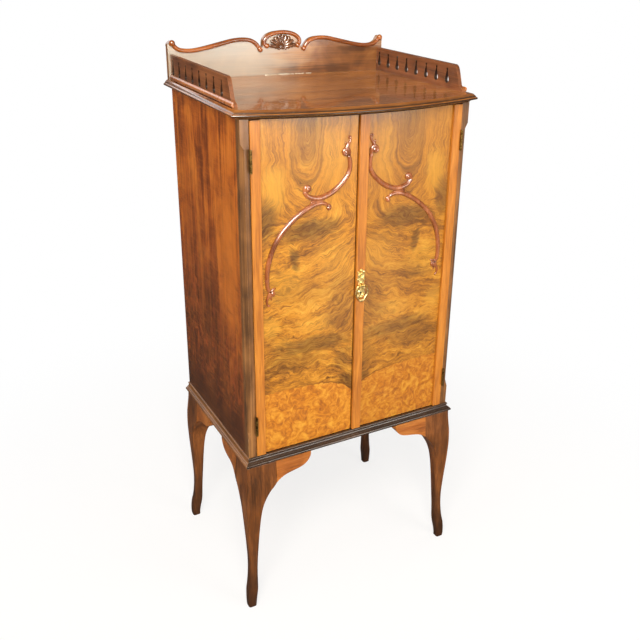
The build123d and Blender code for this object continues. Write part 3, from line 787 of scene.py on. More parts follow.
@dataclass(frozen=True)
class LegTimber(Timber):
    """Leg wood with painted shade that darkens it towards the foot."""

    # colour of the painted shade at the foot
    foot: str = "#2B1A0E"

    def aged(self, ground: Ground, colour: Socket) -> Socket:
        """Painted shade towards the foot."""
        sums = ground.sums
        # painted shade, darkest at the foot, with a ragged upper edge
        patchy = sums.noise(ground.mm, 26.0, detail=3.0, rough=0.6)
        height = sums.plus(ground.xyz[2], sums.swing(patchy, 120.0))
        low = sums.times(sums.smooth(height, 250.0, 10.0), 0.72)
        colour = sums.tint(low, colour, srgb(self.foot))
        return colour


@dataclass(frozen=True)
class PiercedTimber(Timber):
    """Pierced board with painted shade on the walls of its holes."""

    # colour of the painted shade in the holes
    hole_shade: str = "#1E120A"
    # heights above the top between which the holes lie, and the depth where they start
    low_rim: Flat = (6.0, 11.0)
    high_rim: Flat = (48.0, 46.0)
    front_rim: Flat = (-111.0, -108.0)

    def aged(self, ground: Ground, colour: Socket) -> Socket:
        """Painted shade on the walls of the holes."""
        sums = ground.sums
        # painted shade on the walls of the holes, which face along X, between the rims
        wall = sums.smooth(sums.do("ABSOLUTE", ground.facing("X")), 0.6, 0.3)
        y, z = ground.xyz[1:]
        above = sums.smooth(z, *(TOP_TOP + rim for rim in self.low_rim))
        below = sums.smooth(z, *(TOP_TOP + rim for rim in self.high_rim))
        inside = sums.times(sums.times(above, below), sums.smooth(y, *self.front_rim))
        hole_shading = sums.times(sums.times(wall, inside), 0.92)
        colour = sums.tint(hole_shading, colour, srgb(self.hole_shade))
        return colour


@dataclass(frozen=True)
class PaintedSheenBoard(Timber):
    """Board with a painted sheen: a pale reflection over the left and middle that fades to the right."""

    painted_sheen: str = "#D0CDBE"
    fade: Flat = (80.0, -90.0)

    def aged(self, ground: Ground, colour: Socket) -> Socket:
        """The painted sheen on the front face."""
        sums = ground.sums
        x, y, _ = ground.xyz
        ragged = sums.noise(self.stretched(ground, 30.0), 1.0, detail=3.0, rough=0.6, bend=0.6)
        place = sums.plus(x, sums.swing(ragged, 220.0))
        left = sums.smooth(place, *self.fade)
        front = sums.smooth(y, BOARD_FACE + 1.0, BOARD_FACE + 0.3)
        # painted sheen, a pale reflection, strongest on the left of the front face
        tinge = sums.times(sums.times(left, front), sums.mix(ragged, 0.55, 1.0))
        colour = sums.tint(sums.times(tinge, 0.92), colour, srgb(self.painted_sheen))
        return colour


@dataclass(frozen=True)
class DarkEdgedTop(Timber):
    """Polished top whose moulded edge is darker on its upright faces, most of all along the front."""

    dark_tone: str = "#38281B"
    front_y: Flat = (-165.0, -180.0)
    strength: Flat = (0.55, 0.94)

    def aged(self, ground: Ground, colour: Socket) -> Socket:
        """Darker colour on the upright faces."""
        sums = ground.sums
        upright = sums.smooth(ground.facing("Z"), 0.93, 0.55)
        front = sums.mix(sums.smooth(ground.xyz[1], *self.front_y), *self.strength)
        colour = sums.tint(sums.times(upright, front), colour, srgb(self.dark_tone))
        return colour


@dataclass(frozen=True)
class Sheet:
    """Sockets that the figures of the veneer share.

    Both leaves are measured by the distance from the meeting line and the height. The wavy
    pair swims as grain does.
    """

    ground: Ground
    distance: Socket
    height: Socket
    side: Socket
    place: Socket
    ripple: Socket
    wavy_distance: Socket
    wavy_height: Socket


@dataclass(frozen=True)
class DoorVeneer:
    """Book-matched walnut crotch over a band of burr, sliced thin and french polished.

    The two doors mirror each other about the meeting line: a swirl at the head, swept flame
    figure in the middle, dark clouds, and burr with small eyes at the foot.
    """

    name: str = "walnut_crotch_and_burr_veneer"
    gold: str = "#CF8820"
    pale: str = "#E8AC3A"
    brown: str = "#925A1C"
    dark: str = "#583410"
    grey: str = "#7C5C28"
    burr_mid: str = "#CE7D1A"
    burr_light: str = "#E8A532"
    burr_dark: str = "#9C561A"
    # colour of the painted shade along the strips and the carving
    grime_and_shade: str = "#4A2A12"
    axis: float = SCROLL_AXIS
    eye: Flat = (122.0, 1110.0)
    eye_size: Flat = (38.0, 98.0)
    burr_top: float = 557.0
    burr_dip: float = 48.0
    burr_run: float = 36.0
    # dark clouds and bright patches, placed by the distance from the axis and the height
    clouds: tuple[Patch, ...] = (
        Patch(112.0, 918.0, 62.0, 24.0, 0.95),
        Patch(216.0, 948.0, 26.0, 42.0, 0.9),
        Patch(110.0, 652.0, 95.0, 20.0, 0.85),
        Patch(160.0, 622.0, 80.0, 24.0, 0.55),
        Patch(16.0, 533.0, 26.0, 34.0, 0.85),
        Patch(20.0, 600.0, 30.0, 30.0, 0.5),
        Patch(40.0, 735.0, 40.0, 70.0, 0.42),
        Patch(122.0, 1105.0, 36.0, 62.0, 0.5),
        Patch(143.0, 857.0, 10.0, 24.0, 1.0),
        Patch(120.0, 780.0, 70.0, 30.0, 0.25),
    )
    glows: tuple[Patch, ...] = (
        Patch(192.0, 1010.0, 26.0, 44.0, 0.75),
        Patch(205.0, 712.0, 24.0, 26.0, 0.65),
        Patch(60.0, 1060.0, 26.0, 60.0, 0.35),
        Patch(170.0, 805.0, 40.0, 34.0, 0.45),
        Patch(90.0, 700.0, 40.0, 20.0, 0.4),
        Patch(175.0, 672.0, 30.0, 14.0, 0.4),
        Patch(60.0, 850.0, 40.0, 40.0, 0.3),
    )

    def patches(self, sums: Sums, rows: tuple[Patch, ...], u: Socket, z: Socket, ragged: Socket) -> Socket:
        """Soft patches with ragged rims, the strongest where they meet.

        Args:
            sums: Arithmetic of the tree.
            rows: The patches.
            u: Distance from the axis.
            z: Height.
            ragged: Noise that tears the rims.

        Returns:
            Socket of the strength.
        """
        total: Value = 0.0
        for patch in rows:
            zone = sums.smooth(sums.plus(sums.oval(u, z, patch), ragged), 1.9, 0.0)
            total = sums.do("MAXIMUM", total, sums.times(zone, patch.strength))
        return total

    def sheet(self, ground: Ground) -> Sheet:
        """Measure both leaves.

        Args:
            ground: The material's ground.

        Returns:
            The sockets that the figures share.
        """
        sums = ground.sums
        x, _, z0 = ground.xyz
        off = sums.minus(x, self.axis)
        u0 = sums.do("ABSOLUTE", off)
        side = sums.smooth(off, -1.0, 1.0)
        # the two leaves were sliced one after the other, so they differ a little
        flat = sums.vector(u0, sums.times(side, 14.0), z0)
        turned = sums.vector(z0, side, u0)
        ripple = sums.noise(flat, 24.0, detail=3.0)
        u = sums.plus(u0, sums.swing(sums.noise(flat, 95.0, detail=2.0), 40.0))
        u = sums.plus(u, sums.swing(sums.noise(turned, 28.0, detail=3.0), 20.0))
        z = sums.plus(z0, sums.swing(sums.noise(turned, 80.0, detail=2.0), 60.0))
        z = sums.plus(z, sums.swing(ripple, 22.0))
        return Sheet(ground, u0, z0, side, flat, ripple, u, z)

    def levels(self, sheet: Sheet) -> tuple[Socket, Socket, Socket]:
        """Level lines that the streaks follow.

        Args:
            sheet: The measured leaves.

        Returns:
            Height of the level line, distance from the swirl's eye, and mask of the head.
        """
        sums = sheet.ground.sums
        u, z = sheet.wavy_distance, sheet.wavy_height
        # cups in the middle, sinking to the meeting line at the foot
        near = sums.do("EXPONENT", sums.over(u, -62.0))
        lift = sums.mix(sums.smooth(z, 600.0, 760.0), -44.0, 62.0)
        cups = sums.minus(z, sums.times(near, lift))
        # and rings round the swirl at the head
        wide = sums.over(sums.minus(u, self.eye[0]), self.eye_size[0])
        down = sums.minus(z, self.eye[1])
        stretch = sums.mix(sums.smooth(down, -8.0, 8.0), self.eye_size[1], 3.2 * self.eye_size[1])
        tall = sums.over(down, stretch)
        ring = sums.do("SQRT", sums.plus(sums.times(wide, wide), sums.times(tall, tall)))
        rings = sums.minus(self.eye[1], sums.times(ring, self.eye_size[1]))
        head = sums.smooth(z, 925.0, 1015.0)
        return sums.mix(head, cups, rings), ring, head

    def flame(self, sheet: Sheet) -> tuple[Socket, Socket]:
        """Swirl and flame figure with its glows, clouds and threads.

        Args:
            sheet: The measured leaves.

        Returns:
            Colour socket, and the finest streaks for the bump.
        """
        ground = sheet.ground
        sums = ground.sums
        level, ring, head = self.levels(sheet)
        along = sums.plus(sheet.wavy_distance, sums.times(sheet.height, 0.35))

        def streaks(length: float, width: float, detail: float, rough: float, bend: float) -> Socket:
            """Noise drawn out along the level lines, of a streak's length and width in mm."""
            place = sums.vector(sums.over(along, length), sheet.side, sums.over(level, width))
            return sums.noise(place, 1.0, detail, rough, bend)

        drift = streaks(130.0, 60.0, 2.0, 0.5, 0.6)
        broad = streaks(90.0, 17.0, 3.0, 0.6, 0.7)
        flame = streaks(26.0, 5.0, 3.0, 0.65, 0.9)
        hair = streaks(45.0, 1.3, 3.0, 0.65, 0.3)
        mottle = sums.noise(sheet.place, 13.0, 3.0, 0.6, 0.8)
        tone = sums.times(drift, 0.22)
        for layer, share in ((broad, 0.24), (flame, 0.20), (hair, 0.24), (mottle, 0.10)):
            tone = sums.plus(tone, sums.times(layer, share))
        # the swirl at the head is calmer than the flame
        tone = sums.mix(sums.times(head, 0.38), tone, 0.51)
        colour = add(
            ground.tree,
            "ValToRGB",
            {"Fac": tone},
            stops=[(0.38, self.dark), (0.445, self.brown), (0.515, self.gold), (0.60, self.pale)],
        )
        ragged = sums.swing(streaks(36.0, 11.0, 4.0, 0.65, 0.9), 3.4)
        glow = self.patches(sums, self.glows, sheet.wavy_distance, sheet.height, ragged)
        colour = sums.tint(sums.times(glow, 0.7), colour, srgb(self.pale))
        cloud = self.patches(sums, self.clouds, sheet.wavy_distance, sheet.height, ragged)
        shade = sums.tint(sums.smooth(flame, 0.40, 0.62), srgb(self.dark), srgb(self.grey))
        colour = sums.tint(sums.times(cloud, 0.8), colour, shade)
        # rim of the swirl
        rim = sums.times(sums.bump(ring, 1.0, 0.075), sums.smooth(sheet.height, 1150.0, 1020.0))
        rim = sums.times(rim, sums.smooth(hair, 0.36, 0.55))
        colour = sums.tint(sums.times(rim, 0.62), colour, srgb(self.dark))
        # loose dark threads that follow the flame
        thread = sums.bump(streaks(120.0, 7.0, 2.0, 0.5, 0.5), 0.5, 0.018)
        where = sums.smooth(sums.noise(sheet.place, 70.0, detail=2.0), 0.46, 0.60)
        shown = sums.times(sums.times(thread, where), 0.55)
        return sums.tint(shown, colour, srgb(self.dark)), hair

    def burr(self, sheet: Sheet, colour: Socket) -> Socket:
        """Lay the burr over the foot, with the dark joint above it.

        Args:
            sheet: The measured leaves.
            colour: Colour socket of the flame.

        Returns:
            Colour socket of the whole leaf.
        """
        ground = sheet.ground
        sums = ground.sums
        dip = sums.do("EXPONENT", sums.over(sheet.distance, -self.burr_run))
        edge = sums.plus(sums.times(dip, -self.burr_dip), self.burr_top)
        depth = sums.minus(sums.plus(edge, sums.swing(sheet.ripple, 12.0)), sheet.height)
        curl = sums.noise(sheet.place, 24.0, detail=5.0, rough=0.66, bend=1.8)
        knots = add(ground.tree, "TexVoronoi", {"Vector": sheet.place, "Scale": 1.0 / 11.0})
        curl = sums.plus(sums.times(curl, 0.86), sums.times(knots, 0.14))
        burr = add(
            ground.tree,
            "ValToRGB",
            {"Fac": curl},
            stops=[(0.33, self.burr_dark), (0.49, self.burr_mid), (0.66, self.burr_light)],
        )
        eyes = add(ground.tree, "TexVoronoi", {"Vector": sheet.place, "Scale": 1.0 / 7.0})
        eyes = sums.smooth(eyes, 0.20, 0.08)
        eyes = sums.times(eyes, sums.smooth(sums.noise(sheet.place, 30.0), 0.48, 0.6))
        burr = sums.tint(sums.times(eyes, 0.7), burr, srgb(self.burr_dark))
        colour = sums.tint(sums.smooth(depth, -0.8, 0.8), colour, burr)
        joint = sums.times(sums.bump(depth, 0.0, 1.3), sums.smooth(sheet.distance, 230.0, 40.0))
        return sums.tint(sums.times(joint, 0.75), colour, srgb(self.dark))

    def material(self) -> bpy.types.Material:
        """The whole material."""
        ground = Ground(self.name)
        sums = ground.sums
        sheet = self.sheet(ground)
        colour, hair = self.flame(sheet)
        colour = self.burr(sheet, colour)
        # the right-hand leaf is a little browner
        colour = sums.tint(sums.times(sheet.side, 0.2), colour, srgb(self.brown))
        # painted shade along the strips and the carving, where they stand proud of the veneer
        colour = sums.tint(sums.times(ground.hollow(9.0), 0.55), colour, srgb(self.grime_and_shade))
        rub = sums.noise(ground.mm, 42.0, detail=3.0, rough=0.6)
        rough = sums.plus(0.24, sums.times(rub, 0.16))
        height = sums.plus(sums.times(hair, 0.4), sums.times(rub, 0.8))
        return ground.surface(colour, rough, height, 0.05, 0.25, 0.12)


@dataclass(frozen=True)
class CastBrass:
    """Cast brass, once lacquered: bright on what hands touch, brown in the hollows."""

    name: str
    bright: str = "#FFEDAE"
    deep: str = "#CFA54C"
    grime_and_shade: str = "#2A1E0C"
    roughness: float = 0.34

    def material(self) -> bpy.types.Material:
        """The whole material."""
        ground = Ground(self.name)
        sums = ground.sums
        cloud = sums.noise(ground.mm, 6.0, detail=4.0, rough=0.65)
        colour = sums.tint(sums.smooth(cloud, 0.62, 0.38), srgb(self.bright), srgb(self.deep))
        colour = sums.tint(sums.times(ground.hollow(2.2), 0.8), colour, srgb(self.grime_and_shade))
        pits = sums.noise(ground.mm, 0.9, detail=2.0)
        rough = sums.plus(self.roughness - 0.08, sums.times(cloud, 0.26))
        return ground.surface(colour, rough, pits, 0.06, 0.0, 0.1, metallic=1.0)


@dataclass(frozen=True)
class StudioPaint:
    """Matt white paint of the floor, which shows white to the camera and keeps a soft shadow."""

    name: str = "matt_white_floor_paint"
    # the shadow lies near the legs, and past it the floor runs into the white wall
    fade: Flat = (350.0, 1500.0)
    shadowless: Flat = (0.72, 1.0)
    # polished wood mirrors a dim floor, as in a room
    mirrored: float = 0.06

    def material(self) -> bpy.types.Material:
        """The whole material."""
        ground = Ground(self.name)
        sums = ground.sums
        x, y, _ = ground.xyz
        speck = sums.noise(ground.mm, 3.0, detail=2.0)
        tone = sums.tint(speck, srgb("#F4F4F4"), srgb("#FAFAFA"))
        away = sums.do("SQRT", sums.plus(sums.times(x, x), sums.times(y, y)))
        paint = add(ground.tree, "BsdfDiffuse", {"Color": tone, "Roughness": 0.5})
        glow = add(ground.tree, "Emission", {"Color": WHITE, "Strength": 1.0})
        seen = add(ground.tree, "LightPath", out="Is Camera Ray")
        mirrored_in = add(ground.tree, "LightPath", out="Is Glossy Ray")
        open_floor = sums.mix(sums.smooth(away, *self.fade), *self.shadowless)
        shown = sums.times(seen, open_floor)
        shader = add(ground.tree, "MixShader", {0: shown, 1: paint, 2: glow})
        dim = add(ground.tree, "Emission", {"Color": WHITE, "Strength": self.mirrored})
        shader = add(ground.tree, "MixShader", {0: mirrored_in, 1: shader, 2: dim})
        add(ground.tree, "OutputMaterial", {"Surface": shader})
        return ground.material


@dataclass
class Finishes:
    """Every finish of the cabinet, made once."""

    def __post_init__(self) -> None:
        """Make the materials."""
        self.make_case()
        self.make_gallery_and_carving()
        self.make_doors_and_inside()
        self.make_metal_and_floor()

    def make_case(self) -> None:
        """Finishes of the side boards, legs, base and top."""
        self.side = AgedSide(
            "mahogany_side_board_polished", Run.Z, "#DC7E26", "#BA5E16", "#7A3A0C", "#CF9050", "#2A170B",
            band=30.0, length=420.0, contrast=1.0, coat=0.22, seed=1.0,
        ).material()
        self.leg = LegTimber(
            "mahogany_leg_polished", Run.Z, "#A8652C", "#7F481B", "#4A2A0F", "#C98A4E", "#26150A",
            length=160.0, cloud=0.25, seed=2.0,
        ).material()
        self.knee = Timber(
            "mahogany_knee_block_polished", Run.X, "#CF8236", "#B66824", "#884815", "#D19850", "#2C180B",
            length=120.0, seed=3.0,
        ).material()
        self.rail_front = Timber(
            "stained_base_moulding_front", Run.X, "#5E412A", "#432D1C", "#291A10", "#C9A578", "#170E08",
            length=300.0, wear=0.2, roughness=0.28, coat=0.9, coat_rough=0.08, seed=5.0,
        ).material()
        self.rail_side = Timber(
            "stained_base_moulding_side", Run.Y, "#A97240", "#83552B", "#523316", "#D1A878", "#20120A",
            length=300.0, wear=0.35, coat=0.7, coat_rough=0.1, seed=6.0,
        ).material()
        self.top = DarkEdgedTop(
            "walnut_top_french_polished", Run.X, "#D0863A", "#A86428", "#6C3C15", "#BF8A55", "#2C190B",
            band=42.0, length=360.0, contrast=0.5, cloud=0.25, wear=0.4,
            roughness=0.22, coat=0.6, coat_rough=0.06, seed=7.0,
        ).material()

    def make_gallery_and_carving(self) -> None:
        """Finishes of the boards, beads and carving of the gallery, and of the door scrolls."""
        self.board = PaintedSheenBoard(
            "walnut_gallery_board_french_polished", Run.X,
            "#BC8446", "#97602E", "#623A18", "#D59A62", "#2C190B",
            band=46.0, length=260.0, contrast=0.6, cloud=0.7, wear=0.6,
            roughness=0.36, coat=1.0, coat_rough=0.26, seed=8.0,
        ).material()
        self.fret = PiercedTimber(
            "walnut_pierced_gallery_polished", Run.Y, "#A9683A", "#864D26", "#542C14", "#CF9A66", "#26140A",
            length=200.0, wear=0.6, seed=9.0,
        ).material()
        self.bead = Timber(
            "turned_walnut_bead_polished", Run.X, "#C9742F", "#A6581F", "#6C3611", "#E0A06A", "#351C0C",
            length=120.0, wear=0.3, roughness=0.22, coat=0.9, coat_rough=0.06,
            hollow_shade=0.8, hollow_shade_reach=4.0, seed=10.0,
        ).material()
        self.side_bead = Timber(
            "turned_walnut_side_bead_polished", Run.Y, "#CF8040", "#B5692C", "#80451A", "#E2A36C", "#351C0C",
            length=160.0, wear=0.3, roughness=0.28, coat=0.7, hollow_shade_reach=3.0, seed=11.0,
        ).material()
        self.carved = Timber(
            "carved_walnut_french_polished", Run.Z, "#C67A48", "#A65E34", "#6E3A1E", "#DCA678", "#35180D",
            band=14.0, length=60.0, contrast=0.4, wear=0.3,
            roughness=0.26, coat=1.0, coat_rough=0.1, relief=0.02, hollow_shade_reach=2.4, seed=12.0,
        ).material()
        self.crest = Timber(
            "carved_crest_dark_polished", Run.Z, "#9C6C4A", "#74492E", "#432718", "#C79A74", "#24120A",
            band=14.0, length=60.0, contrast=0.4, wear=0.4,
            roughness=0.18, coat=1.0, coat_rough=0.05, relief=0.02, hollow_shade=0.9, hollow_shade_reach=4.0, seed=19.0,
        ).material()

    def make_doors_and_inside(self) -> None:
        """Finishes of the doors, the stiles, the boards inside and the pale line at the board."""
        self.strip = Timber(
            "satinwood_strip_polished", Run.Z, "#E19331", "#CA7B23", "#A05A18", "#ECB068", "#6A3A16",
            band=9.0, streak=1.2, length=90.0, contrast=0.35, cloud=0.2, wear=0.4,
            roughness=0.38, coat=0.25, seed=13.0,
        ).material()
        self.stile = Timber(
            "dark_walnut_stile_polished", Run.Z, "#AE7841", "#84572D", "#4A301A", "#CCA474", "#21160C",
            length=300.0, contrast=0.6, wear=0.7, seed=14.0,
        ).material()
        self.inside = Timber(
            "bare_pine_darkened", Run.X, "#B98D5C", "#A0764A", "#7C5631", "#C9A272", "#4A3018",
            band=18.0, length=320.0, wear=0.2, roughness=0.62, coat=0.0, seed=15.0,
        ).material()
        self.inside_up = Timber(
            "bare_pine_upright_darkened", Run.Z, "#B0834F", "#966B41", "#73502D", "#C9A272", "#4A3018",
            band=18.0, length=320.0, wear=0.2, roughness=0.62, coat=0.0, seed=16.0,
        ).material()
        self.core = Timber(
            "mahogany_door_back_polished", Run.Z, "#9A5F2F", "#7E4A22", "#532D12", "#B57B48", "#24140A",
            band=34.0, length=320.0, wear=0.5, roughness=0.42, coat=0.15, seed=17.0,
        ).material()
        self.pale_joint = Timber(
            "pale_joint_line_finish", Run.X, "#FBF6E6", "#F0E7CE", "#CDBB94", "#FFFDF5", "#8A7450",
            band=6.0, length=20.0, roughness=0.4, coat=0.2, seed=18.0,
        ).material()
        self.veneer = DoorVeneer().material()

    def make_metal_and_floor(self) -> None:
        """Finishes of the metalwork and the studio's floor."""
        self.brass = CastBrass("cast_brass_worn").material()
        self.hinge_brass = CastBrass(
            "rolled_brass_tarnished", "#9C7E45", "#5A4120", "#20160A", 0.42
        ).material()
        self.steel = CastBrass("wrought_steel_dulled", "#7C7A74", "#4C4843", "#1C1814", 0.46).material()
        self.floor = StudioPaint().material()


def paint(piece: bpy.types.Object, material: bpy.types.Material) -> None:
    """Give a piece one material all over."""
    piece.data.materials.clear()
    piece.data.materials.append(material)


def kept(node: str, material: bpy.types.Material, arris: float = 0.0) -> bpy.types.Object:
    """Dress a CAD node that keeps its shape.

    Args:
        node: Name of the node.
        material: Its finish.
        arris: Rounding of its sharp edges in millimetres, 0 for none.

    Returns:
        The node's object.
    """
    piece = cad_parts[node]
    for slot in piece.material_slots:
        slot.link = "OBJECT"
        slot.material = material
    if arris:
        soften_edges(piece, arris)
    return piece


def stand_for(
    piece: bpy.types.Object, node: str, body: str, material: bpy.types.Material
) -> bpy.types.Object:
    """Put a piece in the place of a CAD node.

    Args:
        piece: The new piece.
        node: The node that it replaces.
        body: The body that it moves with.
        material: Its finish.

    Returns:
        The piece.
    """
    paint(piece, material)
    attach(piece, body)
    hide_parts(node)
    return piece


def at_corners(prefix: str) -> list[str]:
    """Names of the pieces at the four corners of the case, the front ones first."""
    return [f"{prefix}_{end}_{side}" for end in ("front", "back") for side in ("left", "right")]


# Sub-assemblies


@dataclass
class TopBoard:
    """Bow-fronted top with a moulded edge on the front and both sides."""

    half: float = 282.0
    nose_y: float = -223.0
    rear_y: float = 223.0
    bow: float = 46.0
    # moulding, upwards: inset from the outline, height above the underside
    edge: tuple[Flat, ...] = (
        (14.0, 0.0), (13.0, 1.6), (11.6, 3.2), (9.6, 4.5), (6.4, 5.5), (2.6, 6.0),
        (1.5, 6.0), (0.6, 6.6), (0.1, 7.5), (0.0, 8.4), (0.3, 9.4), (1.1, 10.3),
        (2.3, 10.9), (2.9, 11.2), (3.4, 12.4), (4.6, 14.0), (6.2, 15.6), (7.6, 16.8),
        (8.3, 17.5), (9.2, 17.95), (10.2, 18.0),
    )
    arc_steps: int = 96

    def ring(self, inset: float, height: float) -> list[Point]:
        """Outline of the top at one step of the moulding.

        Args:
            inset: Distance in from the widest outline.
            height: Height above the underside.

        Returns:
            Points from the left rear corner round the front to the right rear corner.
        """
        radius = (self.half**2 + self.bow**2) / (2 * self.bow)
        centre_y = self.nose_y + radius
        half = self.half - inset
        reach = radius - inset
        turn = math.asin(half / reach)
        z = CASE_TOP + height
        points: list[Point] = [(-half, self.rear_y, z)]
        for i in range(self.arc_steps + 1):
            a = -turn + 2 * turn * i / self.arc_steps
            points.append((reach * math.sin(a), centre_y - reach * math.cos(a), z))
        points.append((half, self.rear_y, z))
        return points

    def build(self, finishes: Finishes) -> list[bpy.types.Object]:
        """Make the top.

        Args:
            finishes: The cabinet's finishes.

        Returns:
            The pieces.
        """
        rings = [self.ring(inset, height) for inset, height in self.edge]
        piece = mesh_piece("top_board_moulded", shell_of(rings))
        for polygon in piece.data.polygons:
            normal = polygon.normal
            polygon.use_smooth = abs(normal.z) < 0.9999 and normal.y < 0.9
        soften_edges(piece, 0.8, 3, 50.0)
        return [stand_for(piece, "top_board", "case", finishes.top)]


@dataclass
class Gallery:
    """Back board, applied beads, shell and pierced sides round the top."""

    bead_radius: float = 4.7
    # half of the bead's line: distance from the middle, height above the top
    bead_line: tuple[Flat, ...] = (
        (261.0, 75.0), (250.0, 65.0), (235.0, 61.4), (215.0, 61.3), (190.0, 65.0), (165.0, 70.3),
        (140.0, 75.8), (118.0, 80.2), (98.0, 81.4), (80.0, 79.2), (67.0, 72.6), (59.0, 63.5), (56.0, 58.5),
    )
    arch_line: tuple[Flat, ...] = (
        (39.5, 65.8), (44.4, 71.0), (44.6, 77.5), (39.6, 84.6), (30.0, 90.4), (16.0, 94.2), (0.0, 95.4),
    )
    knob: Flat = (263.0, 78.0)
    petals: int = 9
    fan: Flat = (31.0, 25.5)
    # start, end and width of each run of the pale line
    pale_joint_runs: tuple[Point, ...] = (
        (-44.0, -12.0, 2.0), (-9.5, 21.0, 2.6), (23.0, 31.0, 1.6), (34.0, 58.0, 2.2), (62.0, 77.0, 1.7),
    )

    def bead_shells(self) -> list[Shell]:
        """Left bead with its inner roll and its end knob."""
        y = BOARD_FACE - 1.0
        line = [(-x, y, TOP_TOP + z, self.bead_radius) for x, z in self.bead_line]
        x, z = self.bead_line[-1]
        roll = volute((-x + 0.6, TOP_TOP + z - 0.4), 100.0, 1.1, 2.6, 3.9, y - 0.8, 2.6, 1)
        kx, kz = self.knob
        knob_roll = volute((-kx, TOP_TOP + kz), -30.0, 1.3, 4.4, 3.4, y - 1.5, 4.2, 1)
        return [
            swept(spline(line, 8), 24),
            swept(roll, 18),
            ball_mesh((-x + 0.6, BOARD_FACE - 3.0, TOP_TOP + z - 0.4), 5.8),
            swept(knob_roll, 18),
            ball_mesh((-kx, BOARD_FACE - 3.6, TOP_TOP + kz), 6.9),
        ]

    def arch_shells(self) -> list[Shell]:
        """Raised arch between its two rolls."""
        y = BOARD_FACE - 1.0
        half = [(x, y, TOP_TOP + z, self.bead_radius) for x, z in self.arch_line]
        line = half + [(-x, y, z, r) for x, y, z, r in half[-2::-1]]
        shells = [swept(spline(line, 8), 24)]
        for side in (1, -1):
            x, z = self.arch_line[0]
            shells.append(ball_mesh((side * (x - 0.6), BOARD_FACE - 3.0, TOP_TOP + z + 0.4), 5.6))
            start = 20.0 if side > 0 else 160.0
            roll = volute((side * (x - 0.6), TOP_TOP + z + 0.6), start, 1.0, 2.6, 3.2, y - 1.2, 2.6, -side)
            shells.append(swept(roll, 18))
        return shells

    def fan_shells(self) -> list[Shell]:
        """Fan of ribbed petals under the arch, each rolled at its tip."""
        shells = []
        base = Vector((0.0, BOARD_FACE - 1.2, TOP_TOP + 60.5))
        spread = 156.0 / (self.petals - 1)
        for number in range(self.petals):
            turn = math.radians(12.0 + spread * number)
            # the fan is wider than it is high, as the arch over it
            length = 1.0 / math.hypot(math.cos(turn) / self.fan[0], math.sin(turn) / self.fan[1])
            way = Vector((math.cos(turn), 0.0, math.sin(turn)))
            line = []
            for step in range(11):
                t = step / 10
                lift = -2.6 * math.sin(math.pi * min(1.0, t * 1.05)) - 1.8 * t
                place = base + way * (4.0 + (length - 4.0) * t)
                line.append((place.x, place.y + lift, place.z, 1.1 + 2.9 * t**0.8))
            shells.append(swept(line, 14))
            tip = base + way * (length + 0.4)
            shells.append(ball_mesh((tip.x, tip.y - 1.8, tip.z), 4.1, (1.0, 0.9, 1.0)))
            # raised rib down the middle of the petal
            rib = [(x, y - r * 0.75, z, 0.55 + 0.6 * i / 10) for i, (x, y, z, r) in enumerate(line)]
            shells.append(swept(rib, 10))
        # beads along the foot of the fan
        for side in (1, -1):
            for x, z, radius in ((8.5, -1.5, 3.4), (16.5, 0.5, 3.2), (25.0, 2.5, 3.0)):
                shells.append(ball_mesh((side * x, base.y - 1.2, base.z + z), radius, (1.0, 0.8, 0.9)))
        shells.append(ball_mesh((base.x, base.y - 1.5, base.z + 1.5), 5.0, (1.25, 0.8, 0.9)))
        return shells

    def build(self, finishes: Finishes) -> list[bpy.types.Object]:
        """Make the gallery.

        Args:
            finishes: The cabinet's finishes.

        Returns:
            The pieces.
        """
        pieces = [kept("gallery_back_board", finishes.board, 0.9)]
        left = self.bead_shells()
        made = (
            ("gallery_bead_left", left),
            ("gallery_bead_right", mirrored(left, 0.0)),
            ("gallery_bead_arch", self.arch_shells()),
        )
        for node, shells in made:
            piece = fused(node + "_carved", shells, 0.8, BOARD_FACE)
            pieces.append(stand_for(piece, node, "case", finishes.bead))
        shell = fused("crest_shell_carved", self.fan_shells(), 0.45, BOARD_FACE)
        pieces.append(stand_for(shell, "crest_carving", "case", finishes.crest))
        for node in ("fret_left", "fret_right"):
            pieces.append(kept(node, finishes.fret, 0.5))
        pieces.append(kept("fret_beads", finishes.side_bead))
        pieces.append(self.pale_joint_line(finishes))
        return pieces

    def pale_joint_line(self, finishes: Finishes) -> bpy.types.Object:
        """Broken pale line where the board meets the top, left of the middle.

        Args:
            finishes: The cabinet's finishes.

        Returns:
            The pale line.
        """
        low = TOP_TOP - 0.1
        back = BOARD_FACE + 0.2
        shells = []
        for start, end, width in self.pale_joint_runs:
            rings = []
            for step in range(9):
                x = start + (end - start) * step / 8
                swell = 1.5 * width * (0.65 + 0.35 * math.sin(1.7 * x) * math.cos(0.31 * x))
                high = low + 0.6 * swell
                foot = BOARD_FACE - swell
                rings.append([(x, back, low), (x, foot, low), (x, BOARD_FACE - 0.4, high), (x, back, high)])
            shells.append(shell_of(rings))
        piece = mesh_piece("filler_line_at_board", joined(shells))
        paint(piece, finishes.pale_joint)
        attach(piece, "case")
        return piece


@dataclass
class Case:
    """Side boards, stiles, back and the boards inside."""

    shelf_count: int = 4

    def build(self, finishes: Finishes) -> list[bpy.types.Object]:
        """Dress the case.

        Args:
            finishes: The cabinet's finishes.

        Returns:
            The pieces.
        """
        pieces = []
        for side in ("left", "right"):
            pieces.append(kept(f"side_panel_{side}", finishes.side, 0.5))
            pieces.append(kept(f"stile_{side}", finishes.stile, 0.6))
            pieces.append(kept(f"shelf_runners_{side}", finishes.inside, 0.5))
        pieces.append(kept("back_panel", finishes.inside_up, 0.4))
        shelves = [f"shelf_{number}" for number in range(1, self.shelf_count + 1)]
        for node in ("case_bottom", "top_rail_front", "top_rail_back", *shelves):
            pieces.append(kept(node, finishes.inside, 0.6))
        return pieces


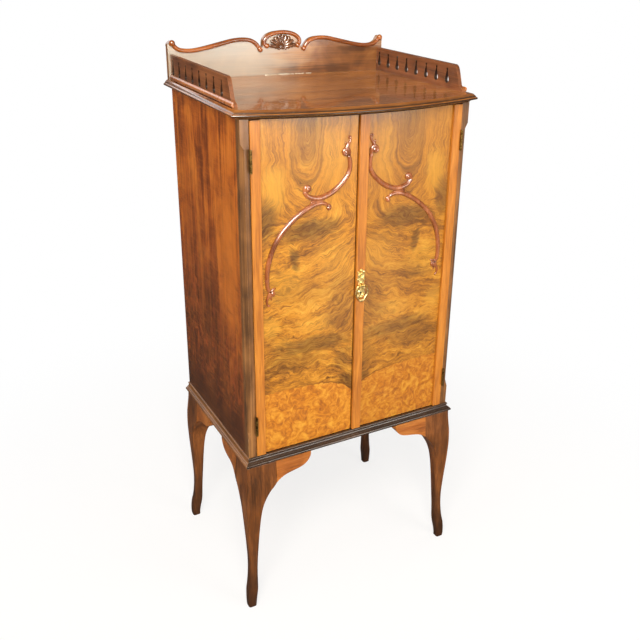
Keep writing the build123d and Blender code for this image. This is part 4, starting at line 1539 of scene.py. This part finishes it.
@dataclass
class BaseFrame:
    """Moulded rails between the case and the legs."""

    def build(self, finishes: Finishes) -> list[bpy.types.Object]:
        """Dress the rails.

        Args:
            finishes: The cabinet's finishes.

        Returns:
            The pieces.
        """
        return [
            kept("base_rail_front", finishes.rail_front),
            kept("base_rail_left", finishes.rail_side),
            kept("base_rail_right", finishes.rail_side),
            kept("base_rail_back", finishes.rail_front, 0.6),
        ]


@dataclass
class CabrioleLeg:
    """One cabriole leg of square section with its block, at the front left before mirroring."""

    name: str
    flip_x: bool
    flip_y: bool
    face_x: float = 272.0
    face_y: float = -178.0
    back_y: float = 213.5
    # height, how far the outer faces stand out, width of the section, corner radius
    rows: tuple[tuple[float, float, float, float], ...] = (
        (0.0, 8.4, 19.5, 5.0), (9.0, 9.5, 21.0, 6.0), (25.0, 9.5, 23.0, 6.5), (45.0, 7.8, 24.5, 6.5),
        (62.0, 4.6, 22.8, 6.0), (82.0, 2.2, 21.0, 5.5), (105.0, 0.6, 20.4, 5.5), (135.0, 0.0, 21.6, 5.5),
        (165.0, 1.0, 24.4, 5.5), (200.0, 2.5, 28.0, 5.0), (240.0, 4.4, 33.0, 4.0), (270.0, 5.4, 38.6, 3.4),
        (292.0, 5.8, 46.5, 3.0), (312.0, 5.4, 58.0, 2.6), (331.0, 4.5, 73.5, 2.2), (350.0, 2.6, 71.6, 2.0),
        (372.0, 0.6, 69.6, 2.0), (LEG_TOP, 0.0, 69.0, 2.0),
    )

    def ring(self, z: float, out: float, width: float, radius: float) -> list[Point]:
        """Rounded square section at one height.

        Args:
            z: Height.
            out: How far the outer faces stand out past the block.
            width: Width of the section.
            radius: Corner radius.

        Returns:
            Points round the section.
        """
        cx = -self.face_x - out + width / 2
        cy = self.face_y - out + width / 2
        inner = width / 2 - radius
        points: list[Point] = []
        corners = ((1, 1, 0), (-1, 1, 90), (-1, -1, 180), (1, -1, 270))
        for number, (sx, sy, start) in enumerate(corners):
            for k in range(7):
                turn = math.radians(start + 90 * k / 6)
                x = cx + sx * inner + radius * math.cos(turn)
                y = cy + sy * inner + radius * math.sin(turn)
                points.append((x, y, z))
            # points along the flat that follows, up to the next corner
            nx, ny, _ = corners[(number + 1) % 4]
            for k in (1, 2, 3):
                points.append((x + (nx - sx) * inner * k / 4, y + (ny - sy) * inner * k / 4, z))
        return points

    def build(self, finishes: Finishes) -> list[bpy.types.Object]:
        """Make the leg.

        Args:
            finishes: The cabinet's finishes.

        Returns:
            The pieces.
        """
        rings = [self.ring(*row) for row in spline(list(self.rows), 5)]
        middle = (self.face_y + self.back_y) / 2
        sign_x = -1 if self.flip_x else 1
        if self.flip_y:
            rings = [[(x, 2 * middle - y, z) for x, y, z in ring] for ring in rings]
        turned = [[(sign_x * x, y, z) for x, y, z in ring] for ring in rings]
        piece = mesh_piece(f"cabriole_{self.name}", shell_of(turned))
        for polygon in piece.data.polygons:
            polygon.use_smooth = abs(polygon.normal.z) < 0.99
        return [stand_for(piece, self.name, "case", finishes.leg)]


@dataclass
class KneeBlocks:
    """Pairs of shaped blocks glued beside the leg blocks."""

    def build(self, finishes: Finishes) -> list[bpy.types.Object]:
        """Dress the knee blocks.

        Args:
            finishes: The cabinet's finishes.

        Returns:
            The pieces.
        """
        return [kept(node, finishes.knee, 0.6) for node in at_corners("knee_blocks")]


@dataclass
class DoorScroll:
    """Carved scrolls of one door: a hooked volute, two swept stems and a tie between them.

    Points are given as (distance left of the axis, height, radius of the stem).
    """

    side: str
    upper: tuple[Point, ...] = (
        (27.0, 1064.0, 4.3), (23.8, 1051.0, 4.5), (24.2, 1036.0, 4.8), (29.5, 1023.0, 5.2),
        (38.5, 1011.5, 5.5), (50.0, 1001.0, 5.7), (64.0, 991.5, 5.8), (79.0, 985.0, 5.8),
        (95.0, 982.0, 5.7), (110.0, 984.4, 5.4), (121.5, 990.5, 5.0), (127.5, 999.0, 4.6),
    )
    lower: tuple[Point, ...] = (
        (76.0, 965.5, 3.8), (81.0, 969.4, 4.0), (91.0, 971.4, 4.4), (104.0, 969.5, 4.8),
        (120.0, 963.5, 5.2), (137.0, 954.0, 5.4), (154.0, 941.5, 5.5), (170.0, 927.5, 5.5),
        (184.0, 911.0, 5.4), (196.0, 891.0, 5.3), (205.0, 868.0, 5.2), (210.5, 842.0, 5.0),
        (211.5, 818.0, 4.6), (209.8, 804.0, 4.2), (206.5, 797.0, 3.8),
    )
    # small stems, each with how deep it is sunk
    sprays: tuple[tuple[tuple[Point, ...], float], ...] = (
        # leaf at the head and the flick beside it
        (
            (
                (33.0, 1080.0, 4.2), (29.5, 1086.5, 3.6), (26.0, 1091.0, 2.8),
                (23.6, 1095.5, 2.0), (23.0, 1099.0, 1.7),
            ),
            0.9,
        ),
        (((31.5, 1082.0, 2.6), (34.5, 1086.0, 2.1), (35.5, 1090.0, 1.3), (34.6, 1092.6, 0.8)), 0.8),
        # tail, ear and fork at the foot
        (
            (
                (206.0, 792.0, 3.4), (210.0, 784.5, 3.2), (213.0, 776.0, 2.5),
                (212.0, 768.5, 1.7), (208.6, 764.4, 1.5),
            ),
            0.9,
        ),
        (((203.0, 797.0, 3.0), (197.0, 801.0, 2.4), (192.5, 802.0, 1.4)), 0.8),
        (((208.0, 788.0, 2.4), (203.5, 782.0, 1.9), (201.8, 776.5, 1.0)), 0.6),
        # tie where the two long stems touch
        (((86.0, 975.6, 2.4), (95.0, 976.4, 3.2), (104.0, 976.4, 3.2), (113.0, 974.8, 2.4)), 0.4),
    )

    def stem(self, rows: tuple[Point, ...], sink: float = 0.6) -> Shell:
        """Swept stem through rows of (distance, height, radius), sunk into the face."""
        line = [(SCROLL_AXIS - u, VENEER_FACE - sink, z, radius) for u, z, radius in rows]
        return swept(spline(line, 7), 24)

    def shells(self) -> list[Shell]:
        """Every shell of the left door's carving."""
        face = VENEER_FACE - 0.6
        parts = [self.stem(self.upper), self.stem(self.lower)]
        # volutes: head, rolled end of the upper stem, rolled end of the lower stem, foot
        for (u, z), start, turns, outer, stem, y, rise, hand, sides in (
            ((34.5, 1071.0), -35.0, 1.45, 8.6, 4.3, face - 0.2, 3.4, 1, 22),
            ((120.0, 1003.6), -150.0, 1.25, 7.0, 4.5, face, 2.6, -1, 20),
            ((72.5, 959.6), 115.0, 1.1, 5.4, 3.6, face, 1.8, -1, 18),
            ((200.5, 792.0), 155.0, 1.2, 6.2, 3.5, face, 2.2, 1, 18),
        ):
            roll = volute((SCROLL_AXIS - u, z), start, turns, outer, stem, y, rise, hand)
            parts.append(swept(roll, sides))
        # the eyes of the volutes, and the knob at the end of the tail
        for u, proud, z, radius in (
            (34.5, 3.2, 1071.0, 3.2),
            (120.0, 2.4, 1003.6, 4.6),
            (72.0, 1.6, 959.0, 3.4),
            (200.5, 2.2, 792.0, 3.4),
            (208.0, 0.6, 765.4, 2.2),
        ):
            parts.append(ball_mesh((SCROLL_AXIS - u, face - proud, z), radius))
        # ring at the tip of the leaf
        ring = []
        for k in range(21):
            turn = 2 * math.pi * k / 20
            x = SCROLL_AXIS - 26.2 - 3.0 * math.cos(turn)
            ring.append((x, face - 0.6, 1101.2 + 2.4 * math.sin(turn), 1.35))
        parts.append(swept(ring, 12))
        return parts + [self.stem(rows, sink) for rows, sink in self.sprays]

    def build(self, finishes: Finishes) -> list[bpy.types.Object]:
        """Make the carving.

        Args:
            finishes: The cabinet's finishes.

        Returns:
            The pieces.
        """
        shells = self.shells()
        if self.side == "right":
            shells = mirrored(shells, SCROLL_AXIS)
        piece = fused(f"scroll_{self.side}_carved", shells, 0.55, VENEER_FACE)
        node = f"door_{self.side}_scroll"
        return [stand_for(piece, node, f"{self.side}_door", finishes.carved)]


@dataclass
class Doors:
    """Cores, veneers and planted strips of both doors."""

    def build(self, finishes: Finishes) -> list[bpy.types.Object]:
        """Dress the doors and carve their scrolls.

        Args:
            finishes: The cabinet's finishes.

        Returns:
            The pieces.
        """
        pieces = []
        for side in ("left", "right"):
            pieces.append(kept(f"door_{side}_core", finishes.core, 0.5))
            pieces.append(kept(f"door_{side}_veneer", finishes.veneer))
            pieces.append(kept(f"door_{side}_strip", finishes.strip))
            pieces += DoorScroll(side).build(finishes)
        return pieces + [kept("door_right_meeting_strip", finishes.strip)]


@dataclass
class EscutcheonRelief:
    """Cast relief on the key plate: rolls, leaves and rims, open round the eye and the keyhole."""

    centre: Flat = (5.0, 758.0)
    face_y: float = -176.2
    # a vine on each side of the middle (across, proud, height, radius), and rolls (across, height, radius)
    vine: tuple[tuple[float, float, float, float], ...] = (
        (2.6, 0.2, 34.0, 0.9), (5.4, 0.6, 27.0, 1.1), (3.4, 0.7, 20.0, 1.2), (4.6, 0.6, 14.0, 1.1),
        (6.0, 0.3, 8.0, 0.8),
    )
    rolls: tuple[Point, ...] = (
        (7.0, 31.0, 3.0), (7.4, 9.6, 3.0), (6.5, -7.0, 2.8), (6.5, 48.0, 2.6), (5.4, 20.0, 2.6),
    )

    def shells(self) -> list[Shell]:
        """Every shell of the relief."""
        cx, cz = self.centre
        parts = []
        for side in (1, -1):
            for x, z, radius in self.rolls:
                place = (cx + side * x, cz + z)
                turn = 200.0 if side > 0 else -20.0
                line = volute(place, turn, 1.2, radius, 0.95, self.face_y - 0.1, 0.9, -side)
                parts.append(swept(line, 12))
                parts.append(ball_mesh((place[0], self.face_y - 0.3, place[1]), 1.3))
            vine = [(cx + side * x, self.face_y - proud, cz + z, radius) for x, proud, z, radius in self.vine]
            parts.append(swept(spline(vine, 6), 12))
        for height, radius, bead in ((40.0, 5.6, 1.3), (0.0, 6.6, 1.2)):
            rim = []
            for k in range(41):
                turn = 2 * math.pi * k / 40
                x = cx + radius * math.cos(turn)
                rim.append((x, self.face_y - 0.2, cz + height + radius * math.sin(turn), bead))
            parts.append(swept(rim, 12))
        for height, radius in ((51.5, 2.9), (-10.0, 2.6), (24.0, 1.9), (17.0, 1.9), (46.5, 1.6)):
            parts.append(ball_mesh((cx, self.face_y - 0.1, cz + height), radius, (1.0, 0.6, 1.0)))
        return parts

    def build(self, finishes: Finishes) -> list[bpy.types.Object]:
        """Make the relief.

        Args:
            finishes: The cabinet's finishes.

        Returns:
            The pieces.
        """
        piece = fused("escutcheon_relief_cast", self.shells(), 0.26, self.face_y + 0.3)
        paint(piece, finishes.brass)
        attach(piece, "right_door")
        return [piece]


@dataclass
class Ironmongery:
    """Hinges, screws, lock, bolts, escutcheon and ring."""

    def build(self, finishes: Finishes) -> list[bpy.types.Object]:
        """Dress the metalwork.

        Args:
            finishes: The cabinet's finishes.

        Returns:
            The pieces.
        """
        pieces = []
        for node in ("hinges_left_case", "hinges_left_door", "hinges_right_case", "hinges_right_door"):
            pieces.append(kept(node, finishes.hinge_brass, 0.25))
        for node in ("hinge_screws_case", "hinge_screws_left_door", "hinge_screws_right_door", "lock_case"):
            pieces.append(kept(node, finishes.steel))
        for node in ("lock_bolt", "strike_plate", "bolt_plates", "door_bolt_top", "door_bolt_bottom"):
            pieces.append(kept(node, finishes.hinge_brass, 0.2))
        for node in ("escutcheon", "ring_pull"):
            pieces.append(kept(node, finishes.brass, 0.3))
        return pieces + EscutcheonRelief().build(finishes)


class Reach(Enum):
    """What a lamp lights: matt colour, the mirror of the polish, or both."""

    MATT = "matt"
    GLOSS = "gloss"
    BOTH = "both"


@dataclass(frozen=True)
class Lamp:
    """One soft lamp or window, and what it lights."""

    name: str
    place: Point
    target: Point
    size: Flat
    power: float
    colour: str
    reach: Reach = Reach.BOTH

    def build(self) -> None:
        """Hang the lamp and turn it to its target."""
        data = bpy.data.lights.new(self.name, "AREA")
        data.shape = "RECTANGLE"
        data.size = self.size[0] * MM
        data.size_y = self.size[1] * MM
        data.energy = self.power
        data.color = srgb(self.colour)[:3]
        lamp = bpy.data.objects.new(self.name, data)
        lamp.location = to_metres(self.place)
        lamp.visible_glossy = self.reach is not Reach.MATT
        lamp.visible_diffuse = self.reach is not Reach.GLOSS
        bpy.context.scene.collection.objects.link(lamp)
        way = to_metres(self.target) - lamp.location
        lamp.rotation_euler = way.to_track_quat("-Z", "Y").to_euler()


LAMPS = (
    Lamp("window_left", (-1250, -1950, 2450), (0, 0, 800), (1400, 1400), 70.0, "#FFF7EC"),
    Lamp("window_glint", (-1180, -1840, 2340), (0, 0, 800), (1200, 1200), 135.0, "#FFF9F0", Reach.GLOSS),
    Lamp("softbox_right", (1300, -2600, 2100), (0, 0, 800), (1500, 1500), 9.0, "#FFF2E0"),
    Lamp("fill_left", (-2900, -500, 1500), (0, 0, 700), (1600, 1800), 15.0, "#FFF0DC", Reach.MATT),
    Lamp("fill_right", (2900, 300, 1500), (0, 0, 700), (1600, 1800), 16.0, "#FFF4E6", Reach.MATT),
    Lamp("fill_back", (900, 2900, 1400), (0, 0, 700), (1600, 1600), 18.0, "#FFF4E6", Reach.MATT),
    Lamp("low_window_right", (1170, -2750, 900), (0, 200, 1220), (1050, 600), 22.0, "#FFFBF4"),
    Lamp("card_low_right", (710, -1380, 190), (0, -170, 770), (420, 380), 0.5, "#FFF6E0"),
    Lamp("sky_behind", (-700, 2300, 2100), (0, 0, 1100), (1600, 900), 8.0, "#F4F8FF"),
    Lamp("overhead", (0, -200, 3300), (0, 0, 900), (1600, 1600), 14.0, "#FFFFFF", Reach.MATT),
)


@dataclass
class Studio:
    """Pale floor, soft lamps and the camera at the photograph's angle."""

    floor_half: float = 9000.0
    eye: Point = (-839.37, -1592.51, 1455.35)
    yaw: float = -0.538418
    pitch: float = -0.406245
    roll: float = 0.032360
    lens: float = 46.046
    shift: Flat = (-0.0644, -0.0349)
    sensor: float = 36.0
    daylight: float = 0.22
    mirrored_daylight: float = 0.10

    def build(self, finishes: Finishes) -> list[bpy.types.Object]:
        """Set up the studio.

        Args:
            finishes: The cabinet's finishes.

        Returns:
            The floor.
        """
        half = self.floor_half
        corners = [(-half, -half, 0.0), (half, -half, 0.0), (half, half, 0.0), (-half, half, 0.0)]
        floor = mesh_piece("floor", (corners, [(0, 1, 2, 3)]), smooth=False)
        paint(floor, finishes.floor)
        for lamp in LAMPS:
            lamp.build()
        self.world()
        self.camera()
        return [floor]

    def world(self) -> None:
        """White to the camera, soft grey light to the object."""
        world = bpy.data.worlds.new("studio_world")
        world.use_nodes = True
        tree = world.node_tree
        tree.nodes.clear()
        sums = Sums(tree)
        seen = add(tree, "LightPath", out="Is Camera Ray")
        mirrored_in = add(tree, "LightPath", out="Is Glossy Ray")
        unseen = sums.mix(mirrored_in, self.daylight, self.mirrored_daylight)
        strength = sums.mix(seen, unseen, 1.0)
        glow = add(tree, "Background", {"Color": WHITE, "Strength": strength})
        add(tree, "OutputWorld", {"Surface": glow})
        bpy.context.scene.world = world

    def camera(self) -> None:
        """Camera solved from the photograph's straight edges."""
        pitch = self.pitch
        bearing = -self.yaw
        level = math.cos(pitch)
        forward = Vector((math.sin(bearing) * level, math.cos(bearing) * level, math.sin(pitch)))
        right = Vector((math.cos(bearing), -math.sin(bearing), 0.0))
        up = right.cross(forward)
        right_rolled = right * math.cos(self.roll) + up * math.sin(self.roll)
        up_rolled = up * math.cos(self.roll) - right * math.sin(self.roll)
        data = bpy.data.cameras.new("camera")
        data.lens = self.lens
        data.sensor_width = self.sensor
        data.shift_x, data.shift_y = self.shift
        data.clip_end = 50.0
        camera = bpy.data.objects.new("camera", data)
        turn = Matrix((right_rolled, up_rolled, -forward)).transposed()
        camera.matrix_world = Matrix.Translation(to_metres(self.eye)) @ turn.to_4x4()
        bpy.context.scene.collection.objects.link(camera)
        bpy.context.scene.camera = camera


def main() -> None:
    """Build every sub-assembly in order and report its pieces."""
    logging.basicConfig(level=logging.INFO, format="%(name)s: %(message)s")
    bpy.context.scene.view_settings.view_transform = "Standard"
    finishes = Finishes()
    legs = [CabrioleLeg(name, name.endswith("right"), "_back_" in name) for name in at_corners("leg")]
    wood = (Case(), BaseFrame(), *legs, KneeBlocks(), TopBoard(), Gallery(), Doors())
    for assembly in (Studio(), *wood, Ironmongery()):
        for piece in assembly.build(finishes):
            log.info("%s: %s", type(assembly).__name__, piece.name)


if __name__ == "__main__":
    main()
